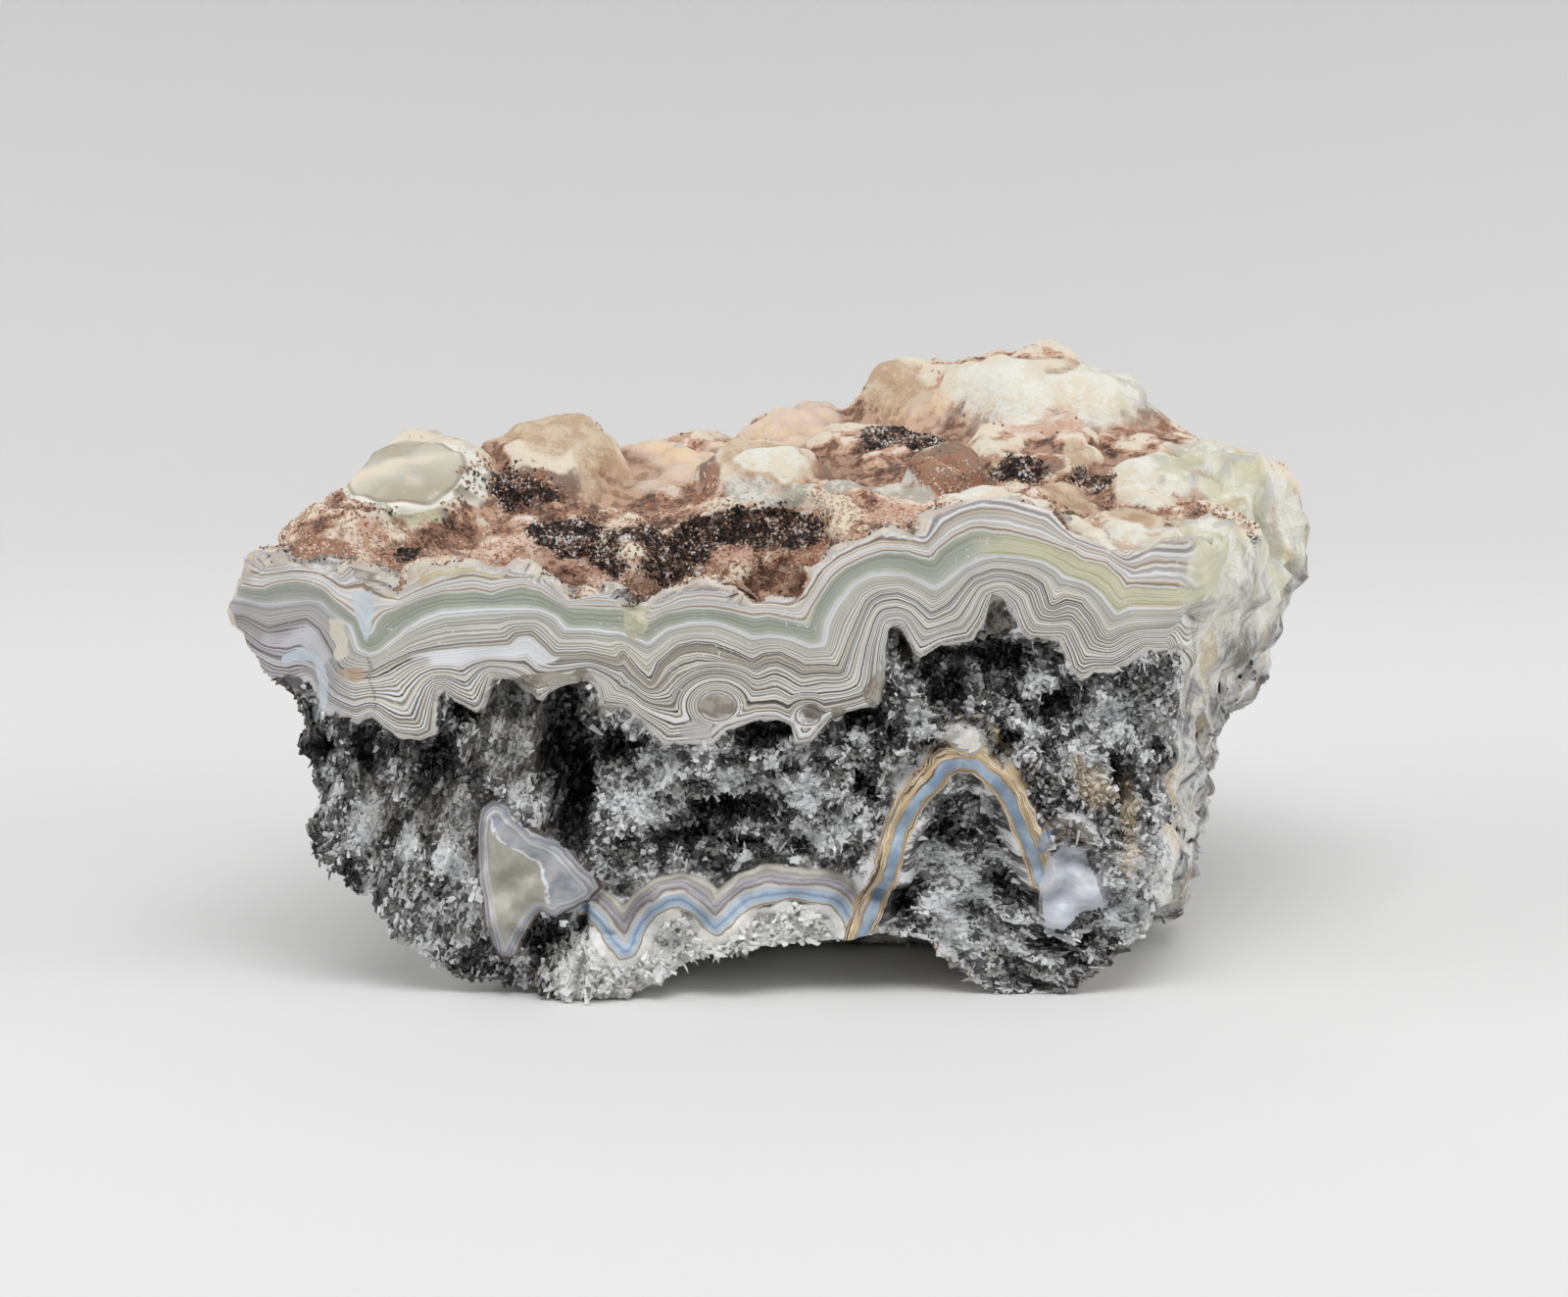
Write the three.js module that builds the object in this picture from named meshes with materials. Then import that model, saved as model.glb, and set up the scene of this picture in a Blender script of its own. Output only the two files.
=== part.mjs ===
// A rough chunk of lace agate, broken from its vein and resting on its underside.
// The stone is one closed body, worked out as the space inside six broken walls: a front
// face, a back, two ends, a crusted top with round domes, and an underside with a hollow.
// Units are millimetres, +Z is up, and the banded broken face looks towards -Y.

import * as THREE from 'three';
import { mergeVertices } from 'three/addons/utils/BufferGeometryUtils.js';

// Driving sizes of the stone
const LENGTH = 126;
const DEPTH = 76;
const HEIGHT = 68;
const FRONT_Y = -38;
const RIND_STEP = 1.6;
const EDGE_RADIUS = 1;
const BACK_ROUNDING = 10;

// How finely the surface is divided along the length, the depth and the height, and the
// zone of the face and of the crust behind it where each cell is divided once more
const CELLS = { x: 30, y: 17, z: 16 };
const FINE_ZONE = { behindFace: 5, topBehindFace: 22, above: 66 };

// The middle of the stone, and the part of each half size from which the walls are sought
const MIDDLE = { x: 0, y: 0, z: 30 };
const CORE = { x: 0.6, y: 0.3, z: 0.3 };
const SEARCH_STEPS = 70;
const SEARCH_REACH = 1.35;
const HALVINGS = 22;

// Left end: how far out it stands at each height, and how it falls back behind the face
const LEFT_PROFILE = [
  [0, -33], [2, -37], [8, -44], [18, -52], [25, -54.5], [29, -55.7], [33, -54.3],
  [37, -59.5], [42, -62.6], [49, -62], [52, -60.5], [60, -56],
];
const LEFT_PLAN = [
  [-38, 0], [-28, 4.5], [-18, 7], [-10, 10], [-5, 12.5], [2, 15.5], [15, 24], [28, 38],
];

// Right end: its outline at the front corner, and at its widest place behind that corner
const RIGHT_CORNER = [[0, 35], [6.5, 40], [39, 40.3], [44, 42.7], [52, 44.8], [62, 44]];
const RIGHT_WIDE = [
  [0, 45], [2.5, 47], [8, 49.7], [16, 50.3], [23, 52], [33, 57.2], [40, 60], [45, 62.2],
  [50, 61.8], [55, 60.4], [57, 58], [59, 54], [64, 46],
];
const RIGHT_SPREAD = [[-38, 0], [-30, 0.35], [-20, 0.7], [-5, 1]];
const RIGHT_PLAN = [[-5, 0], [8, -1.5], [20, -8], [30, -18], [37, -32]];

// Back: how far it stands at each height, and how it falls away towards both ends
const BACK_PROFILE = [[0, 25], [10, 31], [30, 38], [45, 40], [60, 34.5], [70, 25]];
const BACK_PLAN = [
  [-60, -45], [-45, -28], [-30, -14], [-10, -4], [10, 0], [30, 0.5], [45, -4], [60, -18],
];

// Front face: how far it leans back at each height and towards each end
const FRONT_LEAN = [[0, 1.5], [6, 0.8], [20, 0.5], [40, 0], [52, -0.3]];
const FRONT_ENDS = [[-64, 4], [-52, 2], [-45, 0.8], [-42, 0], [36, 0], [44, 1]];

// Crusted top: heights at eleven places along the length, on five lines from front to back
const TOP_X = [-62, -50, -40, -28, -15, 0, 12, 24, 36, 46, 58];
const TOP_LINES = [
  { y: -38, heights: [50.5, 47.5, 45, 45, 43.5, 43.5, 48, 52, 50, 51.5, 50] },
  { y: -19, heights: [52, 51.5, 50, 50, 51, 54, 54, 54, 52.5, 53.5, 53] },
  { y: 0, heights: [52, 54, 54, 54, 54, 54, 56.5, 56.5, 57, 57.5, 56] },
  { y: 20, heights: [48, 50, 52, 53, 52, 55.5, 57, 59, 60, 59, 54] },
  { y: 36, heights: [42, 46, 49, 51, 50, 53, 55, 58, 58, 54, 48] },
];

// Round lobes that the face cuts through, as centre and radius in the face, left to right
const FACE_LOBES = [
  { x: -60.5, z: 49, r: 2.8 }, { x: -54, z: 40.5, r: 8.7 }, { x: -47.2, z: 46.7, r: 3 },
  { x: -35.2, z: 39.6, r: 9.8 }, { x: -28.4, z: 42.2, r: 6.3 }, { x: -20.5, z: 42.2, r: 4.5 },
  { x: -8.5, z: 38.7, r: 8.2 }, { x: -1.1, z: 38.9, r: 7 }, { x: 11.8, z: 42, r: 10.7 },
  { x: 23.2, z: 46.7, r: 10.5 }, { x: 31.1, z: 46.7, r: 6.6 }, { x: 37.2, z: 42.2, r: 9 },
  { x: 42.6, z: 44.5, r: 7.4 },
];
const LOBE_DEPTH = 5;
const LOBE_ROUNDING = 0.5;

// Domes of the crust behind the face
const DOMES = [
  { x: -28, y: -3, z: 50, r: 10.5 }, { x: -2, y: -9, z: 49.5, r: 9.5 },
  { x: -14, y: 6, z: 47.5, r: 9 }, { x: 33, y: 19, z: 50, r: 18 },
  { x: 19, y: 23, z: 50, r: 14 }, { x: 3, y: 21, z: 48, r: 11 },
  { x: -12, y: 22, z: 44, r: 11 }, { x: -30, y: 14, z: 45, r: 11 },
  { x: 43, y: -11, z: 46, r: 11 }, { x: 53, y: -4, z: 45, r: 13 },
  { x: 9, y: 6, z: 48, r: 10.5 }, { x: -50, y: -22, z: 46, r: 9 },
];

// The cut dome on the left: a ball sliced by a flat face that looks forwards and up
const EYE = { x: -42.2, y: -11, z: 48.4, r: 11.3, slice: 8.4, normal: [0, -0.5, 0.866] };

// The crystal-lined hollow behind the crest, and the blocks that stand up behind it
const VUG = [
  { x: -22, y: -28.5, rx: 10.5, ry: 6, depth: 3.6 }, { x: -8, y: -27.5, rx: 10.5, ry: 8, depth: 5.2 },
  { x: 0.5, y: -26, rx: 6, ry: 7, depth: 3.4 },
];
const BLOCKS = [
  { x: 29.5, y: -5, rx: 8, ry: 9, depth: -2.8 }, { x: 18, y: -12.5, rx: 4.5, ry: 5.5, depth: -2 },
];
const VUG_STEEPNESS = 1.8;

// Underside: the height of the front edge above the ground, where the hollow behind that edge
// ends, and the shallow dents that leave the stone standing on a few worn places
const UNDER_EDGE = [
  [-44, 8], [-37, 2], [-28, 1.4], [-25, 0], [-16, 0], [-13.5, 1.5], [-8, 5.4], [-4, 6.4],
  [10, 6.8], [13, 7.2], [16, 6], [20, 2], [23, 0], [30, 0], [34, 2.4], [40, 6.5], [46, 9],
];
const HOLLOW_REACH = [-22, -8];
const HOLLOW_SWELL = 1.5;
const DENTS = [
  { x: -40, y: -14, rx: 14, ry: 16, rise: 3.5 }, { x: -22, y: 2, rx: 12, ry: 10, rise: 2.2 },
  { x: 42, y: -20, rx: 14, ry: 13, rise: 3 }, { x: 12, y: 6, rx: 13, ry: 9, rise: 2.6 },
  { x: 34, y: 16, rx: 13, ry: 12, rise: 3.2 }, { x: -4, y: 26, rx: 16, ry: 9, rise: 3 },
];

// Lower edge of the banded rind across the face, with the peaks of dark rock that rise into it
const RIND_FOOT = [
  [-60, 36], [-54.6, 33], [-49.6, 27.2], [-47.4, 26.7], [-46, 31.5], [-41.6, 30.3], [-38.7, 29.8],
  [-38.8, 34.9], [-36.4, 33.4], [-33.7, 31.8], [-32.2, 36.3], [-30.5, 35.3], [-26, 33.3],
  [-22.7, 34.9], [-20.8, 31], [-13.4, 26.6], [-7.7, 29.2], [-2, 31.4], [1.7, 28.5],
  [5.1, 30.1], [9.3, 33.2], [10.9, 34.1], [12.2, 42], [15.4, 38.9], [20.5, 40.4], [23.7, 45.7],
  [27, 40], [30.9, 39.1], [33.6, 35.6], [35.2, 35.1], [39.9, 38.5], [48, 40],
];
const FOOT_EDGE = [-0.4, 1.2];

// Hollows sunk into the dark rock of the face: middle, half sizes and depth
const FACE_HOLLOWS = [
  { x: -24.2, z: 25, rx: 3.9, rz: 7, depth: 8 }, { x: -30, z: 33.6, rx: 3, rz: 3, depth: 3.2 },
  { x: 20, z: 36.5, rx: 7, rz: 3.4, depth: 2.6 }, { x: -53, z: 28.2, rx: 1.8, rz: 1.7, depth: 3 },
  { x: 20.3, z: 15, rx: 6, rz: 9, depth: 2.4 }, { x: -4, z: 21, rx: 12, rz: 5, depth: 1.8 },
  { x: -44, z: 21, rx: 6, rz: 5, depth: 1.4 }, { x: -57, z: 34.5, rx: 2.6, rz: 2, depth: 2.4 },
];

// Rounded and ribbed growths that stand out of the dark rock
const BLOB = { x: -28.4, z: 13, rx: 6.8, rz: 9.4, rise: 5 };
const BLUE_LAYER = [
  [-22, 9], [-17.6, 5.3], [-14.5, 9.9], [-10.7, 10.9], [-8.2, 9.2], [-5.9, 10.9], [-0.4, 12.5],
  [4.2, 12.3], [7.3, 10.3], [8.4, 7.3],
];
const LEDGE = { aboveLayer: 2.2, edge: [-0.8, 0.8], rise: 2 };
const ARCH = [
  [8.4, 6.5], [11.8, 15], [13.9, 21.1], [17.2, 25.4], [20.4, 27], [23.3, 25.4], [26.4, 20],
  [28.6, 14.5],
];
const ARCH_RIB = { halfWidth: 2.3, edge: 1, rise: 3.2 };
const CORNER_LUMPS = [
  { x: 32, z: 18.6, rx: 3, rz: 2.6, rise: 2 }, { x: 32, z: 11, rx: 4, rz: 4.4, rise: 2.8 },
  { x: 19.8, z: 30, rx: 3, rz: 1.6, rise: 1.6 }, { x: -20, z: 2.5, rx: 8, rz: 5, rise: 3.2 },
];

// Shell-shaped scars where chips have left the ends and the back: ball centre and radius
const SCARS = [
  { x: 74, y: -24, z: 30, r: 21 }, { x: 71, y: 2, z: 12, r: 21 }, { x: 66, y: 28, z: 44, r: 19 },
  { x: 40, y: 54, z: 22, r: 25 }, { x: 6, y: 62, z: 40, r: 27 }, { x: -24, y: 48, z: 22, r: 26 },
  { x: -62, y: 6, z: 24, r: 22 }, { x: -66, y: -18, z: 12, r: 19 }, { x: 66, y: -20, z: 52, r: 13 },
  { x: -52, y: 26, z: 46, r: 18 }, { x: 58, y: -34, z: 18, r: 15 },
];

// Waves that roughen the broken walls: direction and closeness, start, and height
const WAVES = [
  { x: 0.21, y: 0.17, z: 0.31, start: 0.4, height: 0.6 },
  { x: -0.35, y: 0.28, z: 0.27, start: 2.1, height: 0.5 },
  { x: 0.52, y: -0.36, z: 0.43, start: 1.2, height: 0.4 },
  { x: 0.42, y: 0.61, z: -0.54, start: 4.4, height: 0.35 },
  { x: 1.03, y: 0.7, z: 0.88, start: 0.9, height: 0.3 },
  { x: -0.9, y: 0.8, z: 1.21, start: 3.3, height: 0.3 },
];
const ROUGHNESS = { rind: 0.2, rock: 1.1, crust: 0.7, walls: 1.1 };

// How squarely a wall looks forwards, upwards or downwards where it starts and ends to count
// as face, crust or underside, and where the sharp front rim turns into the rounded back one
const FACING = [0.45, 0.8];
const UPWARD = [0.3, 0.6];
const DOWNWARD = [0.6, 0.8];
const BACK_RIM = [-15, 10];
const TOP_SLOPE = 0.8;
const JOINING_DISTANCE = 1e-3;

// Small helpers

function clamp(value, low, high) {
  return Math.min(high, Math.max(low, value));
}

// Height of a line of straight pieces through the given points, level beyond both ends
function along(points, position) {
  if (position <= points[0][0]) return points[0][1];
  for (let i = 1; i < points.length; i += 1) {
    const [start, low] = points[i - 1];
    const [end, high] = points[i];
    if (position <= end) return low + ((high - low) * (position - start)) / (end - start);
  }
  return points[points.length - 1][1];
}

// 0 below the first edge, 1 above the second, and an S-shaped rise between them
function rise(low, high, value) {
  const t = clamp((value - low) / (high - low), 0, 1);
  return t * t * (3 - 2 * t);
}

// The larger of two values, rounded over where they are close to each other
function softMax(a, b, radius) {
  const closeness = Math.max(radius - Math.abs(a - b), 0);
  return Math.max(a, b) + (closeness * closeness) / (4 * radius);
}

// Shortest distance in the face from a place to a line of straight pieces
function distanceToLine(points, x, z) {
  let nearest = Infinity;
  for (let i = 1; i < points.length; i += 1) {
    const [ax, az] = points[i - 1];
    const [bx, bz] = points[i];
    const run = (bx - ax) ** 2 + (bz - az) ** 2;
    const t = clamp(((x - ax) * (bx - ax) + (z - az) * (bz - az)) / run, 0, 1);
    nearest = Math.min(nearest, Math.hypot(x - ax - t * (bx - ax), z - az - t * (bz - az)));
  }
  return nearest;
}

// Height of a rounded lump or hollow over an oval, 1 in the middle and 0 at the rim. An oval
// with a z lies in the upright face, and one with a y lies flat in the top or the underside.
function mound(oval, across, other) {
  const [middle, half] = 'z' in oval ? [oval.z, oval.rz] : [oval.y, oval.ry];
  const far = ((across - oval.x) / oval.rx) ** 2 + ((other - middle) / half) ** 2;
  return far >= 1 ? 0 : Math.sqrt(1 - far);
}

function waves(x, y, z) {
  let sum = 0;
  for (const wave of WAVES) {
    sum += wave.height * Math.sin(wave.x * x + wave.y * y + wave.z * z + wave.start);
  }
  return sum;
}

// The crusted top

function loftedHeight(x, y) {
  const profile = (line) => TOP_X.map((place, i) => [place, line.heights[i]]);
  return along(TOP_LINES.map((line) => [line.y, along(profile(line), x)]), y);
}

// Height of the cut dome, as a ball with everything above its slice taken off
function eyeHeight(x, y) {
  const flat = Math.hypot(x - EYE.x, y - EYE.y);
  if (flat >= EYE.r) return -Infinity;
  const ball = EYE.z + Math.sqrt(EYE.r ** 2 - flat ** 2);
  const [nx, ny, nz] = EYE.normal;
  const sliced = EYE.z + (EYE.slice - nx * (x - EYE.x) - ny * (y - EYE.y)) / nz;
  return Math.min(ball, sliced);
}

function topHeight(x, y) {
  let height = loftedHeight(x, y);
  for (const dome of DOMES) {
    const flat = Math.hypot(x - dome.x, y - dome.y);
    const ball = dome.z + Math.sqrt(Math.max(dome.r ** 2 - flat ** 2, 0));
    if (flat < dome.r) height = softMax(height, ball, EDGE_RADIUS);
  }
  for (const place of [...VUG, ...BLOCKS]) {
    height -= place.depth * Math.min(1, VUG_STEEPNESS * mound(place, x, y));
  }
  for (const lobe of FACE_LOBES) {
    const back = Math.max(y - FRONT_Y - LOBE_DEPTH, 0);
    const flat = Math.hypot(x - lobe.x, back);
    const ball = lobe.z + Math.sqrt(Math.max(lobe.r ** 2 - flat ** 2, 0));
    if (flat < lobe.r) height = softMax(height, ball, LOBE_ROUNDING);
  }
  return Math.max(height, eyeHeight(x, y));
}

// The broken face

// Height of the rind's foot above or below a place: positive where the place is dark rock
function depthBelowRind(x, z) {
  return along(RIND_FOOT, x) - z;
}

// How far the face stands out of its plane towards -Y
function faceRelief(x, z) {
  const rock = rise(...FOOT_EDGE, depthBelowRind(x, z));
  const beside = x < BLUE_LAYER[0][0] || x > ARCH[0][0];
  const ledgeTop = beside ? -1 : along(BLUE_LAYER, x) + LEDGE.aboveLayer;
  const ledge = rise(...LEDGE.edge, ledgeTop - z);
  const { halfWidth, edge } = ARCH_RIB;
  const rib = 1 - rise(halfWidth - edge, halfWidth + edge, distanceToLine(ARCH, x, z));
  let relief = -RIND_STEP * rock + LEDGE.rise * ledge;
  for (const hollow of FACE_HOLLOWS) relief -= hollow.depth * mound(hollow, x, z);
  relief += (ARCH_RIB.rise - RIND_STEP - relief) * rib;
  relief += BLOB.rise * mound(BLOB, x, z);
  for (const lump of CORNER_LUMPS) relief += lump.rise * mound(lump, x, z);
  return relief;
}

// The six walls, each as a signed distance that is negative inside the stone

function frontWall(x, y, z) {
  return FRONT_Y + along(FRONT_LEAN, z) + along(FRONT_ENDS, x) - y;
}

function backOutline(x, z) {
  return along(BACK_PROFILE, z) + along(BACK_PLAN, x);
}

function backWall(x, y, z) {
  return y - backOutline(x, z);
}

function leftOutline(y, z) {
  return along(LEFT_PROFILE, z) + along(LEFT_PLAN, y);
}

function leftWall(x, y, z) {
  return leftOutline(y, z) - x;
}

function rightOutline(y, z) {
  const spread = along(RIGHT_SPREAD, y);
  const outline = along(RIGHT_CORNER, z) * (1 - spread) + along(RIGHT_WIDE, z) * spread;
  return outline + along(RIGHT_PLAN, y);
}

function rightWall(x, y, z) {
  return x - rightOutline(y, z);
}

function topWall(x, y, z) {
  return (z - topHeight(x, y)) * TOP_SLOPE;
}

function underWall(x, y, z) {
  const fade = 1 - rise(...HOLLOW_REACH, y);
  const swell = 1 + (HOLLOW_SWELL * fade * Math.max(y - FRONT_Y, 0)) / DEPTH;
  let height = along(UNDER_EDGE, x) * fade * swell;
  for (const dent of DENTS) {
    height += dent.rise * mound(dent, x, y) ** 2;
  }
  return height - z;
}

function solid(x, y, z) {
  let outside = Math.max(leftWall(x, y, z), rightWall(x, y, z));
  outside = softMax(outside, backWall(x, y, z), BACK_ROUNDING);
  for (const scar of SCARS) {
    outside = Math.max(outside, scar.r - Math.hypot(x - scar.x, y - scar.y, z - scar.z));
  }
  const rimRounding = EDGE_RADIUS + (BACK_ROUNDING - EDGE_RADIUS) * rise(...BACK_RIM, y);
  outside = softMax(outside, topWall(x, y, z), rimRounding);
  outside = softMax(outside, frontWall(x, y, z), EDGE_RADIUS);
  return Math.max(outside, underWall(x, y, z));
}

// The surface: a divided box whose points are moved along their own lines out to the walls

// Draws a point of the plain box in to the outlines of the stone, still short of its domes
function fittedPoint(plain) {
  const end = plain.x > 0 ? rightOutline(plain.y, plain.z) : -leftOutline(plain.y, plain.z);
  const x = (plain.x * end * 2) / LENGTH;
  const y = plain.y > 0 ? (plain.y * backOutline(x, plain.z) * 2) / DEPTH : plain.y;
  return new THREE.Vector3(x, y, (plain.z * loftedHeight(x, y)) / HEIGHT);
}

function surfacePoint(plain) {
  const box = fittedPoint(plain);
  const at = (t) => ['x', 'y', 'z'].map((axis) => {
    const share = CORE[axis] + t * (1 - CORE[axis]);
    return MIDDLE[axis] + share * (box[axis] - MIDDLE[axis]);
  });
  let inner = 0;
  let outer = SEARCH_REACH;
  for (let step = 1; step <= SEARCH_STEPS; step += 1) {
    const t = (SEARCH_REACH * step) / SEARCH_STEPS;
    if (solid(...at(t)) > 0) {
      outer = t;
      break;
    }
    inner = t;
  }
  for (let i = 0; i < HALVINGS; i += 1) {
    const middle = (inner + outer) / 2;
    if (solid(...at(middle)) > 0) outer = middle;
    else inner = middle;
  }
  return new THREE.Vector3(...at(inner));
}

// Divides each triangle that lies wholly in the fine zone in four, and its neighbours in two
function divide(points, triangles, isFine) {
  const middles = new Map();
  const middle = (a, b) => {
    const key = a < b ? `${a} ${b}` : `${b} ${a}`;
    if (!middles.has(key)) {
      middles.set(key, points.length);
      points.push(points[a].clone().lerp(points[b], 0.5));
    }
    return middles.get(key);
  };
  const fine = points.map(isFine);
  const divided = [];
  for (const [a, b, c] of triangles) {
    if (fine[a] && fine[b] && fine[c]) {
      const [ab, bc, ca] = [middle(a, b), middle(b, c), middle(c, a)];
      divided.push([a, ab, ca], [ab, b, bc], [ca, bc, c], [ab, bc, ca]);
    } else if (fine[a] && fine[b]) {
      divided.push([a, middle(a, b), c], [middle(a, b), b, c]);
    } else if (fine[b] && fine[c]) {
      divided.push([b, middle(b, c), a], [middle(b, c), c, a]);
    } else if (fine[c] && fine[a]) {
      divided.push([c, middle(c, a), b], [middle(c, a), a, b]);
    } else {
      divided.push([a, b, c]);
    }
  }
  return divided;
}

function isInFineZone(point) {
  const behind = point.y - FRONT_Y;
  const onTop = point.z > FINE_ZONE.above && behind < FINE_ZONE.topBehindFace;
  return onTop || behind < FINE_ZONE.behindFace;
}

// The box around the stone, as points and triangles, with its face and front crust divided
function dividedBox() {
  const box = new THREE.BoxGeometry(LENGTH, DEPTH, HEIGHT, CELLS.x, CELLS.y, CELLS.z);
  box.translate(0, 0, HEIGHT / 2);
  box.deleteAttribute('normal');
  box.deleteAttribute('uv');
  const merged = mergeVertices(box, JOINING_DISTANCE);
  const places = merged.attributes.position;
  const points = [];
  for (let i = 0; i < places.count; i += 1) {
    points.push(new THREE.Vector3().fromBufferAttribute(places, i));
  }
  const corners = merged.index.array;
  const triangles = [];
  for (let i = 0; i < corners.length; i += 3) triangles.push([...corners.slice(i, i + 3)]);
  return { points, triangles: divide(points, triangles, isInFineZone) };
}

function closedGeometry(points, triangles) {
  const geometry = new THREE.BufferGeometry().setFromPoints(points);
  geometry.setIndex(triangles.flat());
  geometry.computeVertexNormals();
  return geometry;
}

// Roughens a point of the smooth stone: relief on the face, then waves along its normal
function roughened(point, normal) {
  const facing = rise(...FACING, -normal.y);
  const rock = rise(...FOOT_EDGE, depthBelowRind(point.x, point.z));
  const onTop = rise(...UPWARD, normal.z);
  const under = rise(...DOWNWARD, -normal.z);
  const face = ROUGHNESS.rind + (ROUGHNESS.rock - ROUGHNESS.rind) * rock;
  const around = ROUGHNESS.walls + (ROUGHNESS.crust - ROUGHNESS.walls) * onTop;
  const rough = (around + (face - around) * facing) * (1 - under);
  const moved = point.clone().addScaledVector(normal, rough * waves(point.x, point.y, point.z));
  moved.y -= facing * faceRelief(point.x, point.z);
  moved.z = Math.max(moved.z, 0);
  return moved;
}

function stoneGeometry() {
  const { points, triangles } = dividedBox();
  const smooth = closedGeometry(points.map(surfacePoint), triangles);
  const { position, normal } = smooth.attributes;
  const rough = points.map((_, i) => roughened(
    new THREE.Vector3().fromBufferAttribute(position, i),
    new THREE.Vector3().fromBufferAttribute(normal, i),
  ));
  return closedGeometry(rough, triangles);
}

function stoneMaterial() {
  return new THREE.MeshStandardMaterial({ color: 0xa79f94, roughness: 0.6, metalness: 0 });
}

const stone = new THREE.Mesh(stoneGeometry(), stoneMaterial());
stone.name = 'agate_stone';

const group = new THREE.Group();
group.add(stone);

export default group;
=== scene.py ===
"""A rough chunk of lace agate on a pale studio floor.

The stone is one closed surface worked out with numpy in millimetres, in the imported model's own
frame, from the same broken walls, domes and hollows as the solid, and much finer. Its rind,
rock and crust are told apart by attributes on the surface, which the materials read.
"""

import logging
import math
from dataclasses import dataclass
from enum import Enum

import bpy
import numpy as np
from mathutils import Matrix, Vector

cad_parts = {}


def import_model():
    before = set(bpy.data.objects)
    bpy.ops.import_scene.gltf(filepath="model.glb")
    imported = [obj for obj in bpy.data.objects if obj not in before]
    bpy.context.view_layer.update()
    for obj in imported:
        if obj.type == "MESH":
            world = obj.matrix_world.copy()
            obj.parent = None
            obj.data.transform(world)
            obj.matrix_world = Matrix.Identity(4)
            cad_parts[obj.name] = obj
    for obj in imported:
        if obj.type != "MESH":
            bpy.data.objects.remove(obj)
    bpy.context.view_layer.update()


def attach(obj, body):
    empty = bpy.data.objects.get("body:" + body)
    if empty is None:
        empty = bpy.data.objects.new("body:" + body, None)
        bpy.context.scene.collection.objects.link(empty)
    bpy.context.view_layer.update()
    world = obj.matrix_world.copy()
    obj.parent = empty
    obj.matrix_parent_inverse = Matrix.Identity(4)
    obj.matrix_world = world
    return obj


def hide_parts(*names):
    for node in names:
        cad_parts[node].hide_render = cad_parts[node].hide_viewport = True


LOG = logging.getLogger("agate")
NODE = "agate_stone"
BODY = "root"
MM = 0.001


# Small functions on whole arrays


def along(points: tuple, position: np.ndarray) -> np.ndarray:
    """Gives the height of a line of straight pieces, level beyond both ends.

    Args:
        points: pairs of position and height.
        position: where the line is read.

    Returns:
        The height at each position.
    """
    places, heights = np.array(points, float).T
    return np.interp(position, places, heights)


def rise(low: float, high: float, value: np.ndarray) -> np.ndarray:
    """Gives an S-shaped rise: 3t² - 2t³, with t from 0 at the low edge to 1 at the high one.

    Args:
        low: where the rise starts.
        high: where it ends.
        value: the values to weigh.

    Returns:
        Weights from 0 to 1.
    """
    t = np.clip((value - low) / (high - low), 0, 1)
    return t * t * (3 - 2 * t)


def soft_max(a: np.ndarray, b: np.ndarray, radius: np.ndarray) -> np.ndarray:
    """Gives the larger of two fields, rounded where they are closer than the radius.

    Args:
        a: the first field.
        b: the second field.
        radius: how close the two are where the rounding starts.

    Returns:
        max(a, b) + h² / 4r, with h how much closer than the radius they are.
    """
    close = np.maximum(radius - np.abs(a - b), 0)
    return np.maximum(a, b) + close**2 / (4 * radius)


def distance_to_line(points: tuple, x: np.ndarray, z: np.ndarray) -> np.ndarray:
    """Gives the shortest distance from each place to a line of straight pieces.

    Args:
        points: the corners of the line.
        x: the first coordinate of each place.
        z: the second coordinate.

    Returns:
        The distance from the nearest piece, by the foot of the perpendicular on it.
    """
    nearest = np.full(np.shape(x), np.inf)
    for (ax, az), (bx, bz) in zip(points, points[1:]):
        run = (bx - ax) ** 2 + (bz - az) ** 2
        t = np.clip(((x - ax) * (bx - ax) + (z - az) * (bz - az)) / run, 0, 1)
        nearest = np.minimum(nearest, np.hypot(x - ax - t * (bx - ax), z - az - t * (bz - az)))
    return nearest


def lattice_value(cell: np.ndarray, seed: int) -> np.ndarray:
    """Gives a fixed random number for each cell of a lattice, by mixing its whole numbers.

    Args:
        cell: whole-numbered cells, three to a row.
        seed: which set of numbers.

    Returns:
        Numbers from 0 to 1.
    """
    a, b, c = (cell[..., i].astype(np.int64) & 0xFFFFFFFF for i in range(3))
    mixed = (a * 374761393 + b * 668265263 + c * 2147483647 + seed * 1274126177) & 0xFFFFFFFF
    mixed = ((mixed ^ (mixed >> 13)) * 1274126177) & 0xFFFFFFFF
    mixed = ((mixed ^ (mixed >> 16)) * 2246822519) & 0xFFFFFFFF
    return (mixed ^ (mixed >> 15)) / 0xFFFFFFFF


def noise(points: np.ndarray, size: float, seed: int) -> np.ndarray:
    """Gives smooth noise: lattice numbers blended by an S-curve along each axis.

    Args:
        points: places in millimetres, three to a row.
        size: the width of a cell in millimetres.
        seed: which set of numbers.

    Returns:
        Values from -1 to 1.
    """
    scaled = points / size
    cell = np.floor(scaled)
    t = scaled - cell
    t = t * t * (3 - 2 * t)
    total = np.zeros(len(points))
    for corner in np.ndindex(2, 2, 2):
        weight = np.prod(np.where(np.array(corner) == 1, t, 1 - t), axis=1)
        total += weight * lattice_value(cell + corner, seed)
    return total * 2 - 1


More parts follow.
